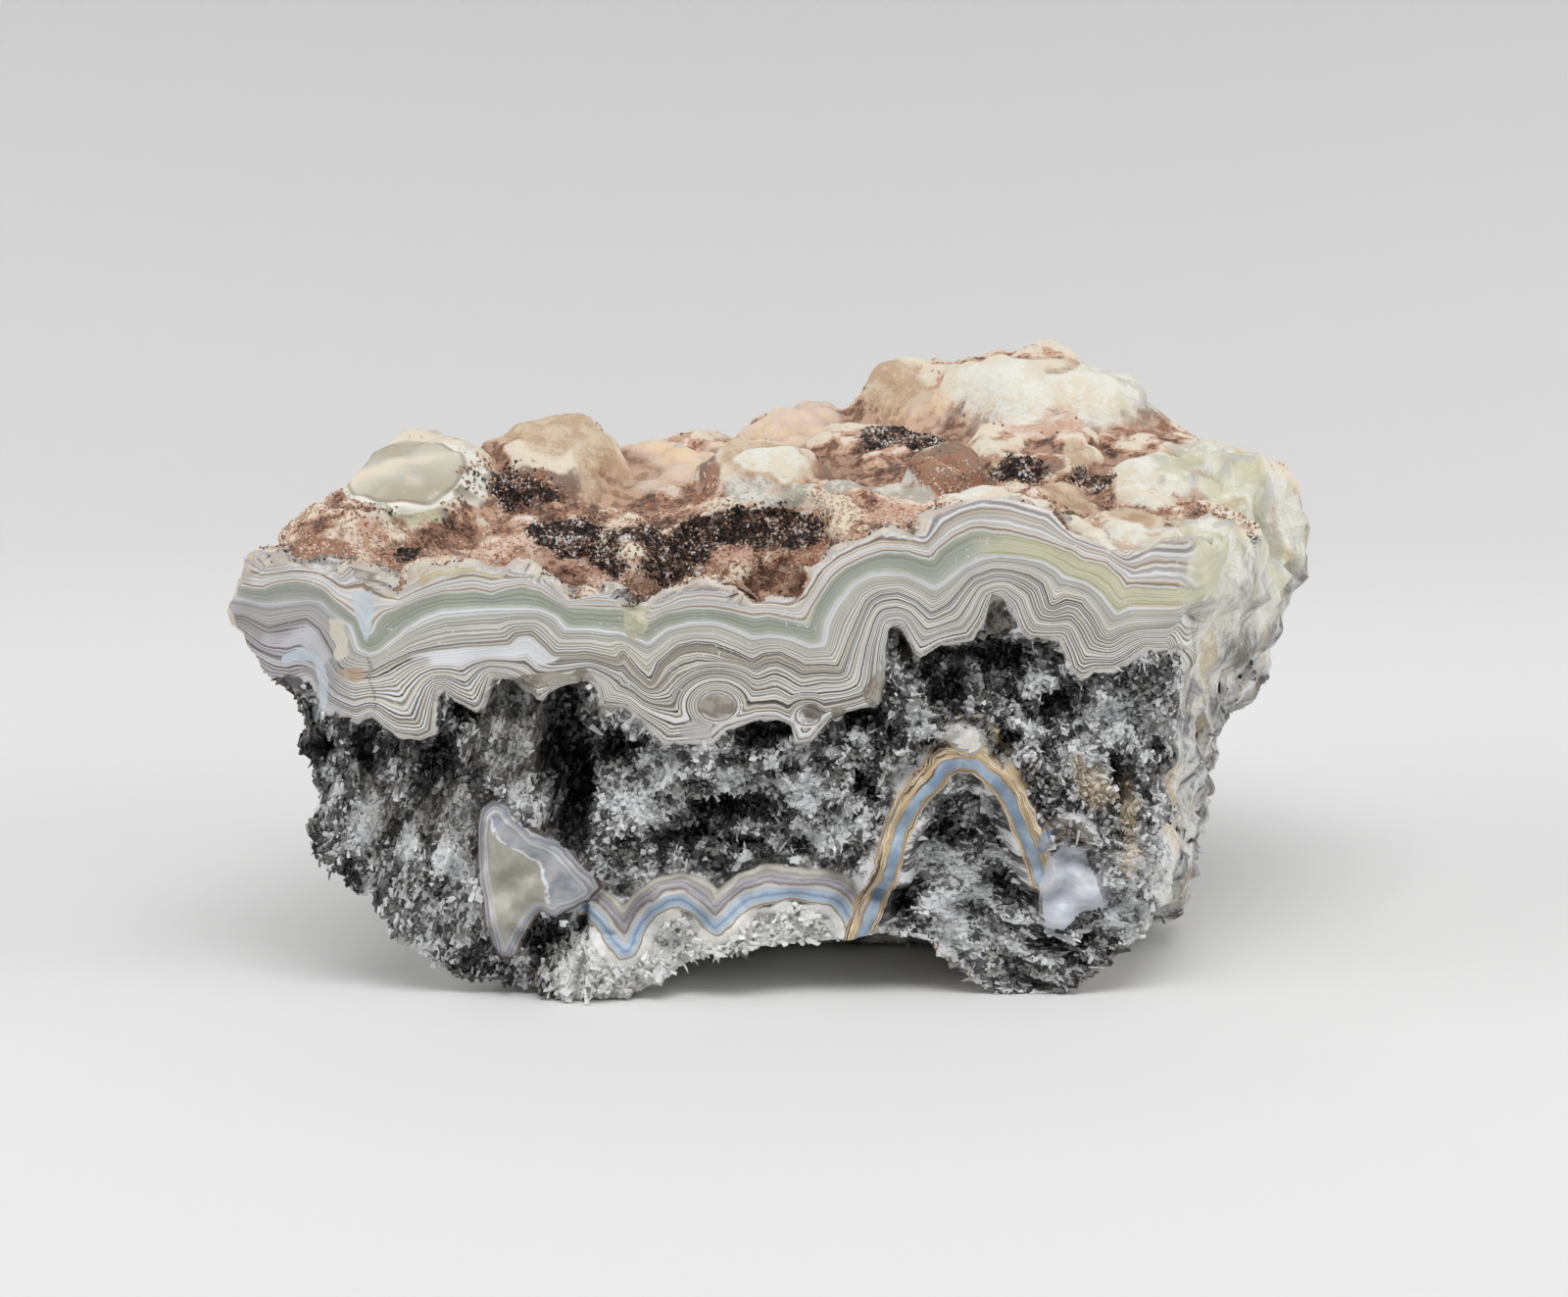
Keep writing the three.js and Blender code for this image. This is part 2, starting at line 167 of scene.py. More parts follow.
def facets(points: np.ndarray, size: float, seed: int) -> tuple[np.ndarray, np.ndarray]:
    """Breaks space into cells around scattered centres, each with a tilted flat facet.

    Args:
        points: places in millimetres, three to a row.
        size: the mean width of a cell.
        seed: which set of centres.

    Returns:
        The height of each place on its cell's facet, from about -1 to 1, and the cell's number
        from 0 to 1.
    """
    scaled = points / size
    cell = np.floor(scaled)
    nearest = np.full(len(points), np.inf)
    height = np.zeros(len(points))
    number = np.zeros(len(points))
    for step in np.ndindex(3, 3, 3):
        there = cell + np.array(step) - 1
        centre = there + np.stack([lattice_value(there, seed + i) for i in range(3)], axis=1)
        offset = scaled - centre
        far = (offset**2).sum(axis=1)
        tilt = np.stack([lattice_value(there, seed + 5 + i) for i in range(3)], axis=1) - 0.5
        value = (offset * tilt * 2).sum(axis=1) + lattice_value(there, seed + 9) - 0.5
        closer = far < nearest
        nearest = np.where(closer, far, nearest)
        height = np.where(closer, value, height)
        number = np.where(closer, lattice_value(there, seed + 11), number)
    return height, number


@dataclass(frozen=True)
class Dome:
    """A ball that bulges out of the crust, in millimetres."""

    x: float
    y: float
    z: float
    r: float


@dataclass(frozen=True)
class Lobe:
    """A round lobe of the rind, as a circle in the unrolled side of the stone."""

    s: float
    z: float
    r: float


@dataclass(frozen=True)
class Oval:
    """A rounded lump or hollow over an oval: its middle, half widths and height."""

    a: float
    b: float
    ra: float
    rb: float
    height: float

    def mound(self, a: np.ndarray, b: np.ndarray) -> np.ndarray:
        """Gives the half ball over the oval: the root of one minus the squared distance."""
        far = ((a - self.a) / self.ra) ** 2 + ((b - self.b) / self.rb) ** 2
        return np.sqrt(np.maximum(1 - far, 0))


@dataclass(frozen=True)
class Wave:
    """One of the waves that roughen the broken walls."""

    x: float
    y: float
    z: float
    start: float
    height: float


def mesh_normals(points: np.ndarray, triangles: np.ndarray) -> np.ndarray:
    """Gives a normal at each point: the sum of its triangles' cross products, made unit long.

    Args:
        points: places, three to a row.
        triangles: corner numbers, three to a row.

    Returns:
        Unit normals.
    """
    a, b, c = (points[triangles[:, i]] for i in range(3))
    faces = np.cross(b - a, c - a)
    normals = np.zeros_like(points)
    for i in range(3):
        for axis in range(3):
            normals[:, axis] += np.bincount(triangles[:, i], faces[:, axis], len(points))
    return normals / np.maximum(np.linalg.norm(normals, axis=1, keepdims=True), 1e-12)


@dataclass(frozen=True)
class StoneForm:
    """The stone's form: six broken walls, the domes of its crust and the relief of its face."""

    length: float = 126
    depth: float = 76
    height: float = 68
    front_y: float = -38
    rind_step: float = 1.6
    edge_radius: float = 1
    back_rounding: float = 10
    cells: tuple = (134, 78, 72)
    fine_face: float = 4
    fine_top: tuple = (24, 66)
    middle: tuple = (0, 0, 30)
    core: tuple = (0.6, 0.3, 0.3)
    search_steps: int = 70
    search_reach: float = 1.35
    halvings: int = 20
    left_profile: tuple = (
        (0, -33), (2, -37), (8, -44), (18, -52), (25, -54.5), (29, -55.7), (33, -54.3),
        (37, -59.5), (42, -62.6), (49, -62), (52, -60.5), (60, -56),
    )
    left_plan: tuple = ((-38, 0), (-28, 4.5), (-18, 7), (-10, 10), (-5, 12.5), (2, 15.5), (15, 24), (28, 38))
    right_corner: tuple = ((0, 35), (6.5, 40), (39, 40.3), (44, 42.7), (52, 44.8), (62, 44))
    right_wide: tuple = (
        (0, 45), (2.5, 47), (8, 49.7), (16, 50.3), (23, 52), (33, 57.2), (40, 60), (45, 62.2),
        (50, 61.8), (55, 60.4), (57, 58), (59, 54), (64, 46),
    )
    right_spread: tuple = ((-38, 0), (-30, 0.35), (-20, 0.7), (-5, 1))
    right_plan: tuple = ((-5, 0), (8, -1.5), (20, -8), (30, -18), (37, -32))
    back_profile: tuple = ((0, 25), (10, 31), (30, 38), (45, 40), (60, 34.5), (70, 25))
    back_plan: tuple = ((-60, -45), (-45, -28), (-30, -14), (-10, -4), (10, 0), (30, 0.5), (45, -4), (60, -18))
    front_lean: tuple = ((0, 1.5), (6, 0.8), (20, 0.5), (40, 0), (52, -0.3))
    front_ends: tuple = ((-64, 4), (-52, 2), (-45, 0.8), (-42, 0), (36, 0), (44, 1))
    top_x: tuple = (-62, -50, -40, -28, -15, 0, 12, 24, 36, 46, 58)
    top_y: tuple = (-38, -19, 0, 20, 36)
    top_heights: tuple = (
        (50.5, 47.5, 45, 45, 43.5, 43.5, 48, 52, 50, 51.5, 50),
        (52, 51.5, 50, 50, 51, 54, 54, 54, 52.5, 53.5, 53),
        (52, 54, 54, 54, 54, 54, 56.5, 56.5, 57, 57.5, 56),
        (48, 50, 52, 53, 52, 55.5, 57, 59, 60, 59, 54),
        (42, 46, 49, 51, 50, 53, 55, 58, 58, 54, 48),
    )
    face_lobes: tuple = (
        Lobe(-60.5, 49, 2.8), Lobe(-54, 40.5, 8.7), Lobe(-47.2, 46.7, 3), Lobe(-35.2, 39.6, 9.8),
        Lobe(-28.4, 42.2, 6.3), Lobe(-20.5, 42.2, 4.5), Lobe(-8.5, 38.7, 8.2), Lobe(-1.1, 38.9, 7),
        Lobe(11.8, 42, 10.7), Lobe(23.2, 46.7, 10.5), Lobe(31.1, 46.7, 6.6), Lobe(37.2, 42.2, 9),
        Lobe(42.6, 44.5, 7.4),
    )
    lobe_depth: float = 5
    domes: tuple = (
        Dome(-28, -3, 50, 10.5), Dome(-2, -9, 49.5, 9.5), Dome(-14, 6, 47.5, 9),
        Dome(33, 19, 50, 18), Dome(19, 23, 50, 14), Dome(3, 21, 48, 11), Dome(-12, 22, 44, 11),
        Dome(-30, 14, 45, 11), Dome(43, -11, 46, 11), Dome(53, -4, 45, 13), Dome(9, 6, 48, 10.5),
        Dome(-50, -22, 46, 7.5),
    )
    eye: Dome = Dome(-43.6, -11, 49.3, 11.6)
    eye_slice: float = 8.6
    eye_normal: tuple = (0, -0.5, 0.866)
    vug: tuple = (
        Oval(-24.5, -27, 7.5, 5, 3.2), Oval(-7.2, -27.5, 9.3, 8, 5.2), Oval(0.5, -26, 6, 7, 3.4),
    )
    blocks: tuple = (Oval(29.5, -5, 8, 9, -2.8), Oval(18, -12.5, 4.5, 5.5, -2))
    vug_steepness: float = 1.8
    under_edge: tuple = (
        (-44, 8), (-37, 2), (-28, 1.4), (-25, 0), (-17, 0), (-14, 1.6), (-11.2, 3.6), (-8.3, 5), (-4, 5.8),
        (7, 6.6), (12, 7.4), (15.2, 6.8), (17.7, 4.6), (21, 2), (24, 0), (30, 0), (34, 2.4), (40, 6.5), (46, 9),
    )
    hollow_reach: tuple = (-28, -16)
    hollow_swell: float = 1.5
    dents: tuple = (
        Oval(-40, -14, 14, 16, 3.5), Oval(-22, 2, 12, 10, 2.2), Oval(42, -20, 14, 13, 3),
        Oval(12, 6, 13, 9, 2.6), Oval(34, 16, 13, 12, 3.2), Oval(-4, 26, 16, 9, 3),
    )
    rind_foot: tuple = (
        (-61.3, 42.5), (-59.7, 38.9), (-57.3, 36), (-55.4, 35.1), (-53.9, 34.8), (-52.6, 35.9),
        (-51.3, 33), (-49.7, 32.2), (-47.3, 31.2), (-45.6, 32.2), (-43.3, 30.2), (-40.3, 29.5),
        (-38.3, 30.2), (-38.1, 33.4), (-37.9, 35.3), (-36.7, 34.1), (-34, 32.5), (-32.8, 33.5),
        (-32.1, 36.7), (-30.7, 36.5), (-29.2, 35.1), (-26.8, 33.8), (-25.9, 34.8), (-24.7, 35.5),
        (-21.5, 36.5), (-20.6, 35.7), (-20.2, 32.3), (-19.4, 33.4), (-17.5, 33.3), (-14.1, 30.2),
        (-13.4, 29.2), (-7.7, 29.2), (-6.3, 30.7), (-2.8, 32), (-1, 32), (0.6, 31.2), (1.2, 29.2),
        (3.2, 29.4), (5.2, 32.2), (8.1, 33), (10.6, 33.8), (11, 36.3), (11.2, 40.3), (11.6, 42.4),
        (12.6, 42.6), (14.1, 39.4), (15, 38.9), (17.3, 40.3), (20.7, 40.8), (22.1, 43.3),
        (22.8, 45.7), (23.7, 46), (24.7, 44.8), (25.9, 41.9), (26.9, 41), (30.1, 41), (30.8, 39.4),
        (31.3, 37.6), (32.8, 36.4), (34.3, 37.4), (36.4, 37.6), (38.3, 38.6), (39.7, 39.8),
        (42, 39.4),
    )
    face_hollows: tuple = (
        Oval(-24.2, 25, 3.9, 7, 8), Oval(-30, 33.6, 3, 3, 3.2), Oval(20, 36.5, 7, 3.4, 2.6),
        Oval(-53, 28.2, 1.8, 1.7, 3), Oval(20.3, 15, 6, 9, 2.4), Oval(-4, 21, 12, 5, 1.8),
        Oval(-44, 21, 6, 5, 1.4), Oval(-57, 34.5, 2.6, 2, 2.4),
    )
    blob: Oval = Oval(-28.4, 13, 6.8, 9.4, 5)
    blue_layer: tuple = (
        (-22, 9), (-17.6, 5.3), (-14.5, 9.9), (-10.7, 10.9), (-8.2, 9.2), (-5.9, 10.9),
        (-0.4, 12.5), (4.2, 12.3), (7.3, 10.3), (8.4, 7.3),
    )
    ledge_above: float = 2.2
    ledge_rise: float = 2
    arch: tuple = (
        (8.4, 6.5), (11.8, 15), (13.9, 21.1), (17.2, 25.4), (20.4, 27), (23.3, 25.4), (26.4, 20),
        (28.6, 14.5),
    )
    arch_half_width: float = 2.3
    arch_rise: float = 3.2
    corner_lumps: tuple = (
        Oval(32, 18.6, 3, 2.6, 2), Oval(32, 11, 4, 4.4, 2.8), Oval(19.8, 30, 3, 1.6, 1.6),
        Oval(-20, 2.5, 8, 5, 3.2),
    )
    scars: tuple = (
        Dome(74, -24, 30, 21), Dome(71, 2, 12, 21), Dome(66, 28, 44, 19), Dome(40, 54, 22, 25),
        Dome(6, 62, 40, 27), Dome(-24, 48, 22, 26), Dome(-62, 6, 24, 22), Dome(-66, -18, 12, 19),
        Dome(66, -20, 52, 13), Dome(-52, 26, 46, 18), Dome(58, -34, 18, 15),
    )
    waves: tuple = (
        Wave(0.21, 0.17, 0.31, 0.4, 0.6), Wave(-0.35, 0.28, 0.27, 2.1, 0.5),
        Wave(0.52, -0.36, 0.43, 1.2, 0.4), Wave(0.42, 0.61, -0.54, 4.4, 0.35),
        Wave(1.03, 0.7, 0.88, 0.9, 0.3), Wave(-0.9, 0.8, 1.21, 3.3, 0.3),
    )
    roughness: tuple = (0.2, 1.1, 0.7, 1.1)

    def lofted_height(self, x: np.ndarray, y: np.ndarray) -> np.ndarray:
        """Gives the crust's height without its domes, straight between five lines of heights."""
        lines = np.array([np.interp(x, self.top_x, heights) for heights in self.top_heights])
        stops = np.array(self.top_y, float)
        after = np.clip(np.searchsorted(stops, y), 1, len(stops) - 1)
        share = np.clip((y - stops[after - 1]) / (stops[after] - stops[after - 1]), 0, 1)
        each = np.arange(len(x))
        return lines[after - 1, each] * (1 - share) + lines[after, each] * share

    def top_height(self, x: np.ndarray, y: np.ndarray) -> np.ndarray:
        """Gives the crust's height: the loft, with domes, hollows, lobes and the cut dome."""
        height = self.lofted_height(x, y)
        for dome in self.domes:
            inside = dome.r**2 - (x - dome.x) ** 2 - (y - dome.y) ** 2
            ball = dome.z + np.sqrt(np.maximum(inside, 0))
            height = np.where(inside > 0, soft_max(height, ball, self.edge_radius), height)
        for place in self.vug + self.blocks:
            height = height - place.height * np.minimum(1, self.vug_steepness * place.mound(x, y))
        for lobe in self.face_lobes:
            back = np.maximum(y - self.front_y - self.lobe_depth, 0)
            inside = lobe.r**2 - (x - lobe.s) ** 2 - back**2
            ball = lobe.z + np.sqrt(np.maximum(inside, 0))
            height = np.where(inside > 0, soft_max(height, ball, self.edge_radius / 2), height)
        eye = self.eye
        inside = eye.r**2 - (x - eye.x) ** 2 - (y - eye.y) ** 2
        ball = eye.z + np.sqrt(np.maximum(inside, 0))
        nx, ny, nz = self.eye_normal
        sliced = eye.z + (self.eye_slice - nx * (x - eye.x) - ny * (y - eye.y)) / nz
        return np.where(inside > 0, np.maximum(height, np.minimum(ball, sliced)), height)

    def left_outline(self, y: np.ndarray, z: np.ndarray) -> np.ndarray:
        """Gives how far out the left end stands: its profile, drawn in behind the face."""
        return along(self.left_profile, z) + along(self.left_plan, y)

    def right_outline(self, y: np.ndarray, z: np.ndarray) -> np.ndarray:
        """Gives how far out the right end stands, spreading from the corner to its widest."""
        spread = along(self.right_spread, y)
        outline = along(self.right_corner, z) * (1 - spread) + along(self.right_wide, z) * spread
        return outline + along(self.right_plan, y)

    def back_outline(self, x: np.ndarray, z: np.ndarray) -> np.ndarray:
        """Gives how far back the stone stands at each place along its length."""
        return along(self.back_profile, z) + along(self.back_plan, x)

    def under_height(self, x: np.ndarray, y: np.ndarray) -> np.ndarray:
        """Gives the underside's height: the raised front edge and the shallow dents."""
        fade = 1 - rise(*self.hollow_reach, y)
        swell = 1 + self.hollow_swell * fade * np.maximum(y - self.front_y, 0) / self.depth
        height = along(self.under_edge, x) * fade * swell
        for dent in self.dents:
            height = height + dent.height * dent.mound(x, y) ** 2
        return height

    def solid(self, p: np.ndarray) -> np.ndarray:
        """Gives a field that is negative inside the stone: the largest of its walls' distances."""
        x, y, z = p.T
        outside = np.maximum(self.left_outline(y, z) - x, x - self.right_outline(y, z))
        outside = soft_max(outside, y - self.back_outline(x, z), self.back_rounding)
        for scar in self.scars:
            far = np.sqrt((x - scar.x) ** 2 + (y - scar.y) ** 2 + (z - scar.z) ** 2)
            outside = np.maximum(outside, scar.r - far)
        rim = self.edge_radius + (self.back_rounding - self.edge_radius) * rise(-15, 10, y)
        outside = soft_max(outside, (z - self.top_height(x, y)) * 0.8, rim)
        front = self.front_y + along(self.front_lean, z) + along(self.front_ends, x) - y
        outside = soft_max(outside, front, self.edge_radius)
        return np.maximum(outside, self.under_height(x, y) - z)

    def fitted(self, plain: np.ndarray) -> np.ndarray:
        """Draws the plain box in to the stone's outlines, still short of its domes."""
        x, y, z = plain.T
        end = np.where(x > 0, self.right_outline(y, z), -self.left_outline(y, z))
        new_x = x * end * 2 / self.length
        new_y = np.where(y > 0, y * self.back_outline(new_x, z) * 2 / self.depth, y)
        new_z = z * self.lofted_height(new_x, new_y) / self.height
        return np.stack([new_x, new_y, new_z], axis=1)

    def surface(self, plain: np.ndarray) -> np.ndarray:
        """Moves the points of a box along their own lines out to the walls.

        Args:
            plain: points on the plain box.

        Returns:
            Points on the smooth stone: the first crossing of the field, found by steps and
            then by halving.
        """
        middle = np.array(self.middle, float)
        core = np.array(self.core, float)
        arm = self.fitted(plain) - middle

        def at(t: np.ndarray) -> np.ndarray:
            """Gives the point of each line at share t of its reach."""
            return middle + (core + t[:, None] * (1 - core)) * arm

        inner = np.zeros(len(plain))
        outer = np.full(len(plain), self.search_reach)
        open_lines = np.ones(len(plain), bool)
        for step in range(1, self.search_steps + 1):
            t = np.full(len(plain), self.search_reach * step / self.search_steps)
            live = np.flatnonzero(open_lines)
            if not len(live):
                break
            points = middle + (core + t[live, None] * (1 - core)) * arm[live]
            crossed = self.solid(points) > 0
            outer[live[crossed]] = t[live[crossed]]
            inner[live[~crossed]] = t[live[~crossed]]
            open_lines[live[crossed]] = False
        for _ in range(self.halvings):
            half = (inner + outer) / 2
            out = self.solid(at(half)) > 0
            outer = np.where(out, half, outer)
            inner = np.where(out, inner, half)
        return at(inner)

    def relief(self, x: np.ndarray, z: np.ndarray) -> np.ndarray:
        """Gives how far the face stands out of its plane at each place in it."""
        rock = rise(-0.4, 1.2, along(self.rind_foot, x) - z)
        on_blue = (x >= self.blue_layer[0][0]) & (x <= self.arch[0][0])
        blue_line = np.where(on_blue, along(self.blue_layer, x) + self.ledge_above, -1)
        ledge = rise(-0.8, 0.8, blue_line - z)
        half = self.arch_half_width
        rib = 1 - rise(half - 1, half + 1, distance_to_line(self.arch, x, z))
        relief = -self.rind_step * rock + self.ledge_rise * ledge
        for hollow in self.face_hollows:
            relief = relief - hollow.height * hollow.mound(x, z)
        relief = relief + (self.arch_rise - self.rind_step - relief) * rib
        relief = relief + self.blob.height * self.blob.mound(x, z)
        for lump in self.corner_lumps:
            relief = relief + lump.height * lump.mound(x, z)
        return relief

    def wave_height(self, p: np.ndarray) -> np.ndarray:
        """Gives the sum of the waves at each place."""
        total = np.zeros(len(p))
        for w in self.waves:
            total += w.height * np.sin(p @ np.array([w.x, w.y, w.z]) + w.start)
        return total

    def roughened(self, p: np.ndarray, n: np.ndarray) -> np.ndarray:
        """Roughens the smooth stone: relief on the face, then waves along the normals."""
        rind, rocky, crust, walls = self.roughness
        facing = rise(0.45, 0.8, -n[:, 1])
        rock = rise(-0.4, 1.2, along(self.rind_foot, p[:, 0]) - p[:, 2])
        on_top = rise(0.3, 0.6, n[:, 2])
        under = rise(0.6, 0.8, -n[:, 2])
        face = rind + (rocky - rind) * rock
        around = walls + (crust - walls) * on_top
        rough = (around + (face - around) * facing) * (1 - under)
        moved = p + n * (rough * self.wave_height(p))[:, None]
        moved[:, 1] -= facing * self.relief(p[:, 0], p[:, 2])
        moved[:, 2] = np.maximum(moved[:, 2], 0)
        return moved

    def box(self) -> tuple[np.ndarray, np.ndarray]:
        """Gives the plain box as points and triangles, with its face and front crust divided.

        Returns:
            Points on the box, and triangles that face outwards.
        """
        nx, ny, nz = self.cells
        steps = (nx, ny, nz)
        quads = []
        for axis in range(3):
            u, v = (axis + 1) % 3, (axis + 2) % 3
            i, j = np.meshgrid(np.arange(steps[u]), np.arange(steps[v]), indexing="ij")
            for side in (0, 1):
                corners = np.zeros((i.size, 4, 3), int)
                corners[:, :, axis] = steps[axis] * side
                turn = ((0, 0), (1, 0), (1, 1), (0, 1)) if side else ((0, 0), (0, 1), (1, 1), (1, 0))
                for k, (du, dv) in enumerate(turn):
                    corners[:, k, u] = i.ravel() + du
                    corners[:, k, v] = j.ravel() + dv
                quads.append(corners)
        lattice = np.concatenate(quads).reshape(-1, 3)
        places, index = np.unique(lattice, axis=0, return_inverse=True)
        quad = index.reshape(-1, 4)
        triangles = np.concatenate([quad[:, [0, 1, 2]], quad[:, [0, 2, 3]]])
        share = places / np.array(steps) - np.array([0.5, 0.5, 0])
        points = share * np.array([self.length, self.depth, self.height])
        return self.divided(points, triangles)

    def divided(self, points: np.ndarray, triangles: np.ndarray) -> tuple[np.ndarray, np.ndarray]:
        """Divides each triangle of the fine zone in four, and its neighbours in two."""
        behind = points[:, 1] - self.front_y
        reach, above = self.fine_top
        fine = (behind < self.fine_face) | ((points[:, 2] > above) & (behind < reach))
        count = fine[triangles].sum(axis=1)
        whole = triangles[count == 3]
        pair = triangles[count == 2]
        turn = np.argmin(fine[pair], axis=1)
        c, a, b = (pair[np.arange(len(pair)), (turn + i) % 3] for i in range(3))
        ends = np.concatenate([whole[:, [0, 1]], whole[:, [1, 2]], whole[:, [2, 0]], np.stack([a, b], 1)])
        edges, which = np.unique(np.sort(ends, axis=1), axis=0, return_inverse=True)
        which = which.ravel() + len(points)
        n = len(whole)
        ab, bc, ca, half = which[:n], which[n : 2 * n], which[2 * n : 3 * n], which[3 * n :]
        wa, wb, wc = whole.T
        parts = [
            triangles[count < 2],
            np.stack([wa, ab, ca], 1), np.stack([ab, wb, bc], 1),
            np.stack([ca, bc, wc], 1), np.stack([ab, bc, ca], 1),
            np.stack([a, half, c], 1), np.stack([half, b, c], 1),
        ]
        added = (points[edges[:, 0]] + points[edges[:, 1]]) / 2
        return np.concatenate([points, added]), np.concatenate(parts)


@dataclass(frozen=True)
class BandLine:
    """One line of the banded rind across the face, and its share of the way to the crest."""

    share: float
    points: tuple


@dataclass(frozen=True)
class RindField:
    """Where each place lies in the banded rind, from 0 at its foot on the rock to 1 at its crest.

    On the face the bands run between five broken lines. Around the ends and the back they run
    between lobes above and peaks of rock below, and follow the bisector of the two.
    """

    form: StoneForm
    middle: BandLine = BandLine(0.45, (
        (-61.3, 43.3), (-59.6, 43.2), (-56.9, 41.8), (-54.8, 42.4), (-52.7, 42.9), (-51.2, 41.8),
        (-50.1, 39.6), (-49, 37.6), (-47.2, 37), (-45.2, 37.4), (-43.2, 38.6), (-41.1, 39.5),
        (-39.3, 39.9), (-34.7, 40.5), (-30.2, 40.6), (-29.3, 41.6), (-27.7, 41.8), (-26.4, 40.5),
        (-25.3, 39.3), (-21.5, 39.5), (-18.3, 38.8), (-17.7, 39.8), (-16.1, 37.8), (-14.7, 36.3),
        (-13.7, 38.6), (-11.6, 40.3), (-9.7, 40.7), (-7.6, 40.5), (-5.5, 39.7), (-3.4, 38.6),
        (-2.3, 39.4), (-0.5, 39.7), (1.2, 38.8), (2.2, 38.1), (4.4, 38.3), (5.9, 38.1), (6.9, 40.6),
        (8.1, 43.3), (9.1, 45.6), (10.5, 46.4), (12.5, 46.6), (14.7, 45.6), (16.2, 44.3),
        (17.7, 45.3), (18.9, 46.7), (20.4, 48.4), (22.8, 49.3), (25, 49.1), (27, 48.6),
        (28.6, 47.6), (29.4, 45.3), (30.7, 46.2), (32.8, 45.7), (34.2, 43.9), (35.2, 41.9),
        (35.7, 41.7), (36.8, 42.4), (38.7, 42.8), (42.5, 42.8),
    ))
    sage_foot: BandLine = BandLine(0.72, (
        (-61.1, 45.6), (-58.7, 44.9), (-57.4, 44.5), (-54.1, 45), (-52.2, 45.2), (-50.8, 45.1),
        (-49.8, 44.1), (-48.4, 43.2), (-47.4, 42.7), (-46.5, 40), (-45.4, 39.4), (-44.3, 40),
        (-43.1, 41.1), (-41.5, 42.5), (-39.6, 43.7), (-37.5, 44.5), (-33, 44.8), (-28.5, 44.9),
        (-26.6, 44.8), (-24.8, 43.9), (-23.8, 42.5), (-21.5, 42.5), (-17.8, 42), (-17.1, 41.6),
        (-14.9, 40.8), (-12.9, 42.4), (-10.4, 43.1), (-7.9, 43.2), (-5.7, 42.6), (-3.4, 41.6),
        (-1.7, 41.8), (0.8, 41.4), (2.9, 40.6), (4.2, 40.8), (4.6, 43.3), (5.7, 45.4), (7.6, 47.6),
        (9.5, 48.5), (11.6, 48.6), (13.5, 48.4), (15.4, 47.4), (16.5, 46.9), (17.7, 47.6),
        (19.5, 49.1), (21.4, 50.2), (23.6, 50.5), (26, 50.4), (28.3, 50), (30, 49), (30.6, 48.4),
        (33, 47.7), (34.8, 46.4), (36, 44.8), (36.5, 44.2), (37.7, 44.8), (42.9, 44.7),
    ))
    sage_top: BandLine = BandLine(0.82, (
        (-60.6, 46.2), (-57.3, 46.1), (-56.3, 46.7), (-54, 47.1), (-52.2, 46.9), (-50.6, 46.3),
        (-49.4, 45.2), (-48, 44.3), (-46.9, 43.2), (-46.2, 41.4), (-45.3, 41.6), (-44.6, 43.1),
        (-43.9, 43.9), (-42, 44.8), (-40, 45.6), (-37.1, 46.3), (-35.4, 46.3), (-33.8, 46.5),
        (-31.9, 46.1), (-30.5, 46.7), (-28.5, 47.2), (-26.6, 46.7), (-24.8, 45.5), (-23.6, 44.8),
        (-17.2, 44.5), (-14.9, 43), (-12.9, 44), (-10.4, 44.5), (-7.9, 44.5), (-5.7, 44.2),
        (-3.4, 43.6), (-1.7, 43.8), (0.2, 43.3), (2.7, 42.6), (3.4, 44.7), (4.2, 46.1), (5.4, 47.9),
        (6.8, 49.2), (8.8, 50.2), (11, 50.8), (13.5, 50.8), (15, 50.2), (16.2, 49.8), (16.9, 51),
        (18.4, 52), (20.6, 53), (22.8, 52.8), (24.6, 52.7), (26.9, 52.3), (29.2, 51.8),
        (31.5, 51.1), (32.5, 50.2), (35.1, 49.6), (36.7, 48.1), (37.4, 46.9), (37.9, 47.1),
        (42.9, 46.6),
    ))
    crest: BandLine = BandLine(1, (
        (-60.2, 49.7), (-58.7, 51.2), (-57.2, 48.5), (-53.5, 49.2), (-50.7, 49.2), (-48.6, 47.9),
        (-46.4, 50), (-44.9, 49.2), (-43.7, 47.9), (-42.9, 46.6), (-42.2, 46.2), (-39.5, 47.7),
        (-35.6, 49.5), (-33.7, 49.7), (-30.7, 48.9), (-26.4, 48.4), (-25.2, 47.7), (-23.6, 45.8),
        (-20.4, 46.9), (-17.8, 46.4), (-16.3, 45.2), (-14.9, 44.6), (-13.6, 45.2), (-11.6, 46.6),
        (-9.1, 47.2), (-4, 46.6), (-1.7, 46.2), (0.3, 46), (1.9, 46.6), (3.7, 49.6), (5, 50.8),
        (7.1, 52.1), (10.4, 53.3), (13.6, 52.9), (15.2, 52.9), (16.2, 55.1), (18.4, 56.4),
        (21.7, 57.3), (24.9, 56.8), (27.7, 55.9), (29.1, 55.5), (30.5, 54), (31.9, 52.7),
        (35.3, 51.7), (37.4, 50.5), (39.5, 52.2), (43.8, 51.8),
    ))
    outline: tuple = (
        (-52, -36), (44, -38), (60, -8), (50, 22), (28, 38), (-5, 36), (-30, 20), (-44, 2), (-52, -20),
    )
    around_step: float = 9.5
    around_height: float = 43
    foot_height: float = 31
    face_depth: tuple = (-36.5, -31)

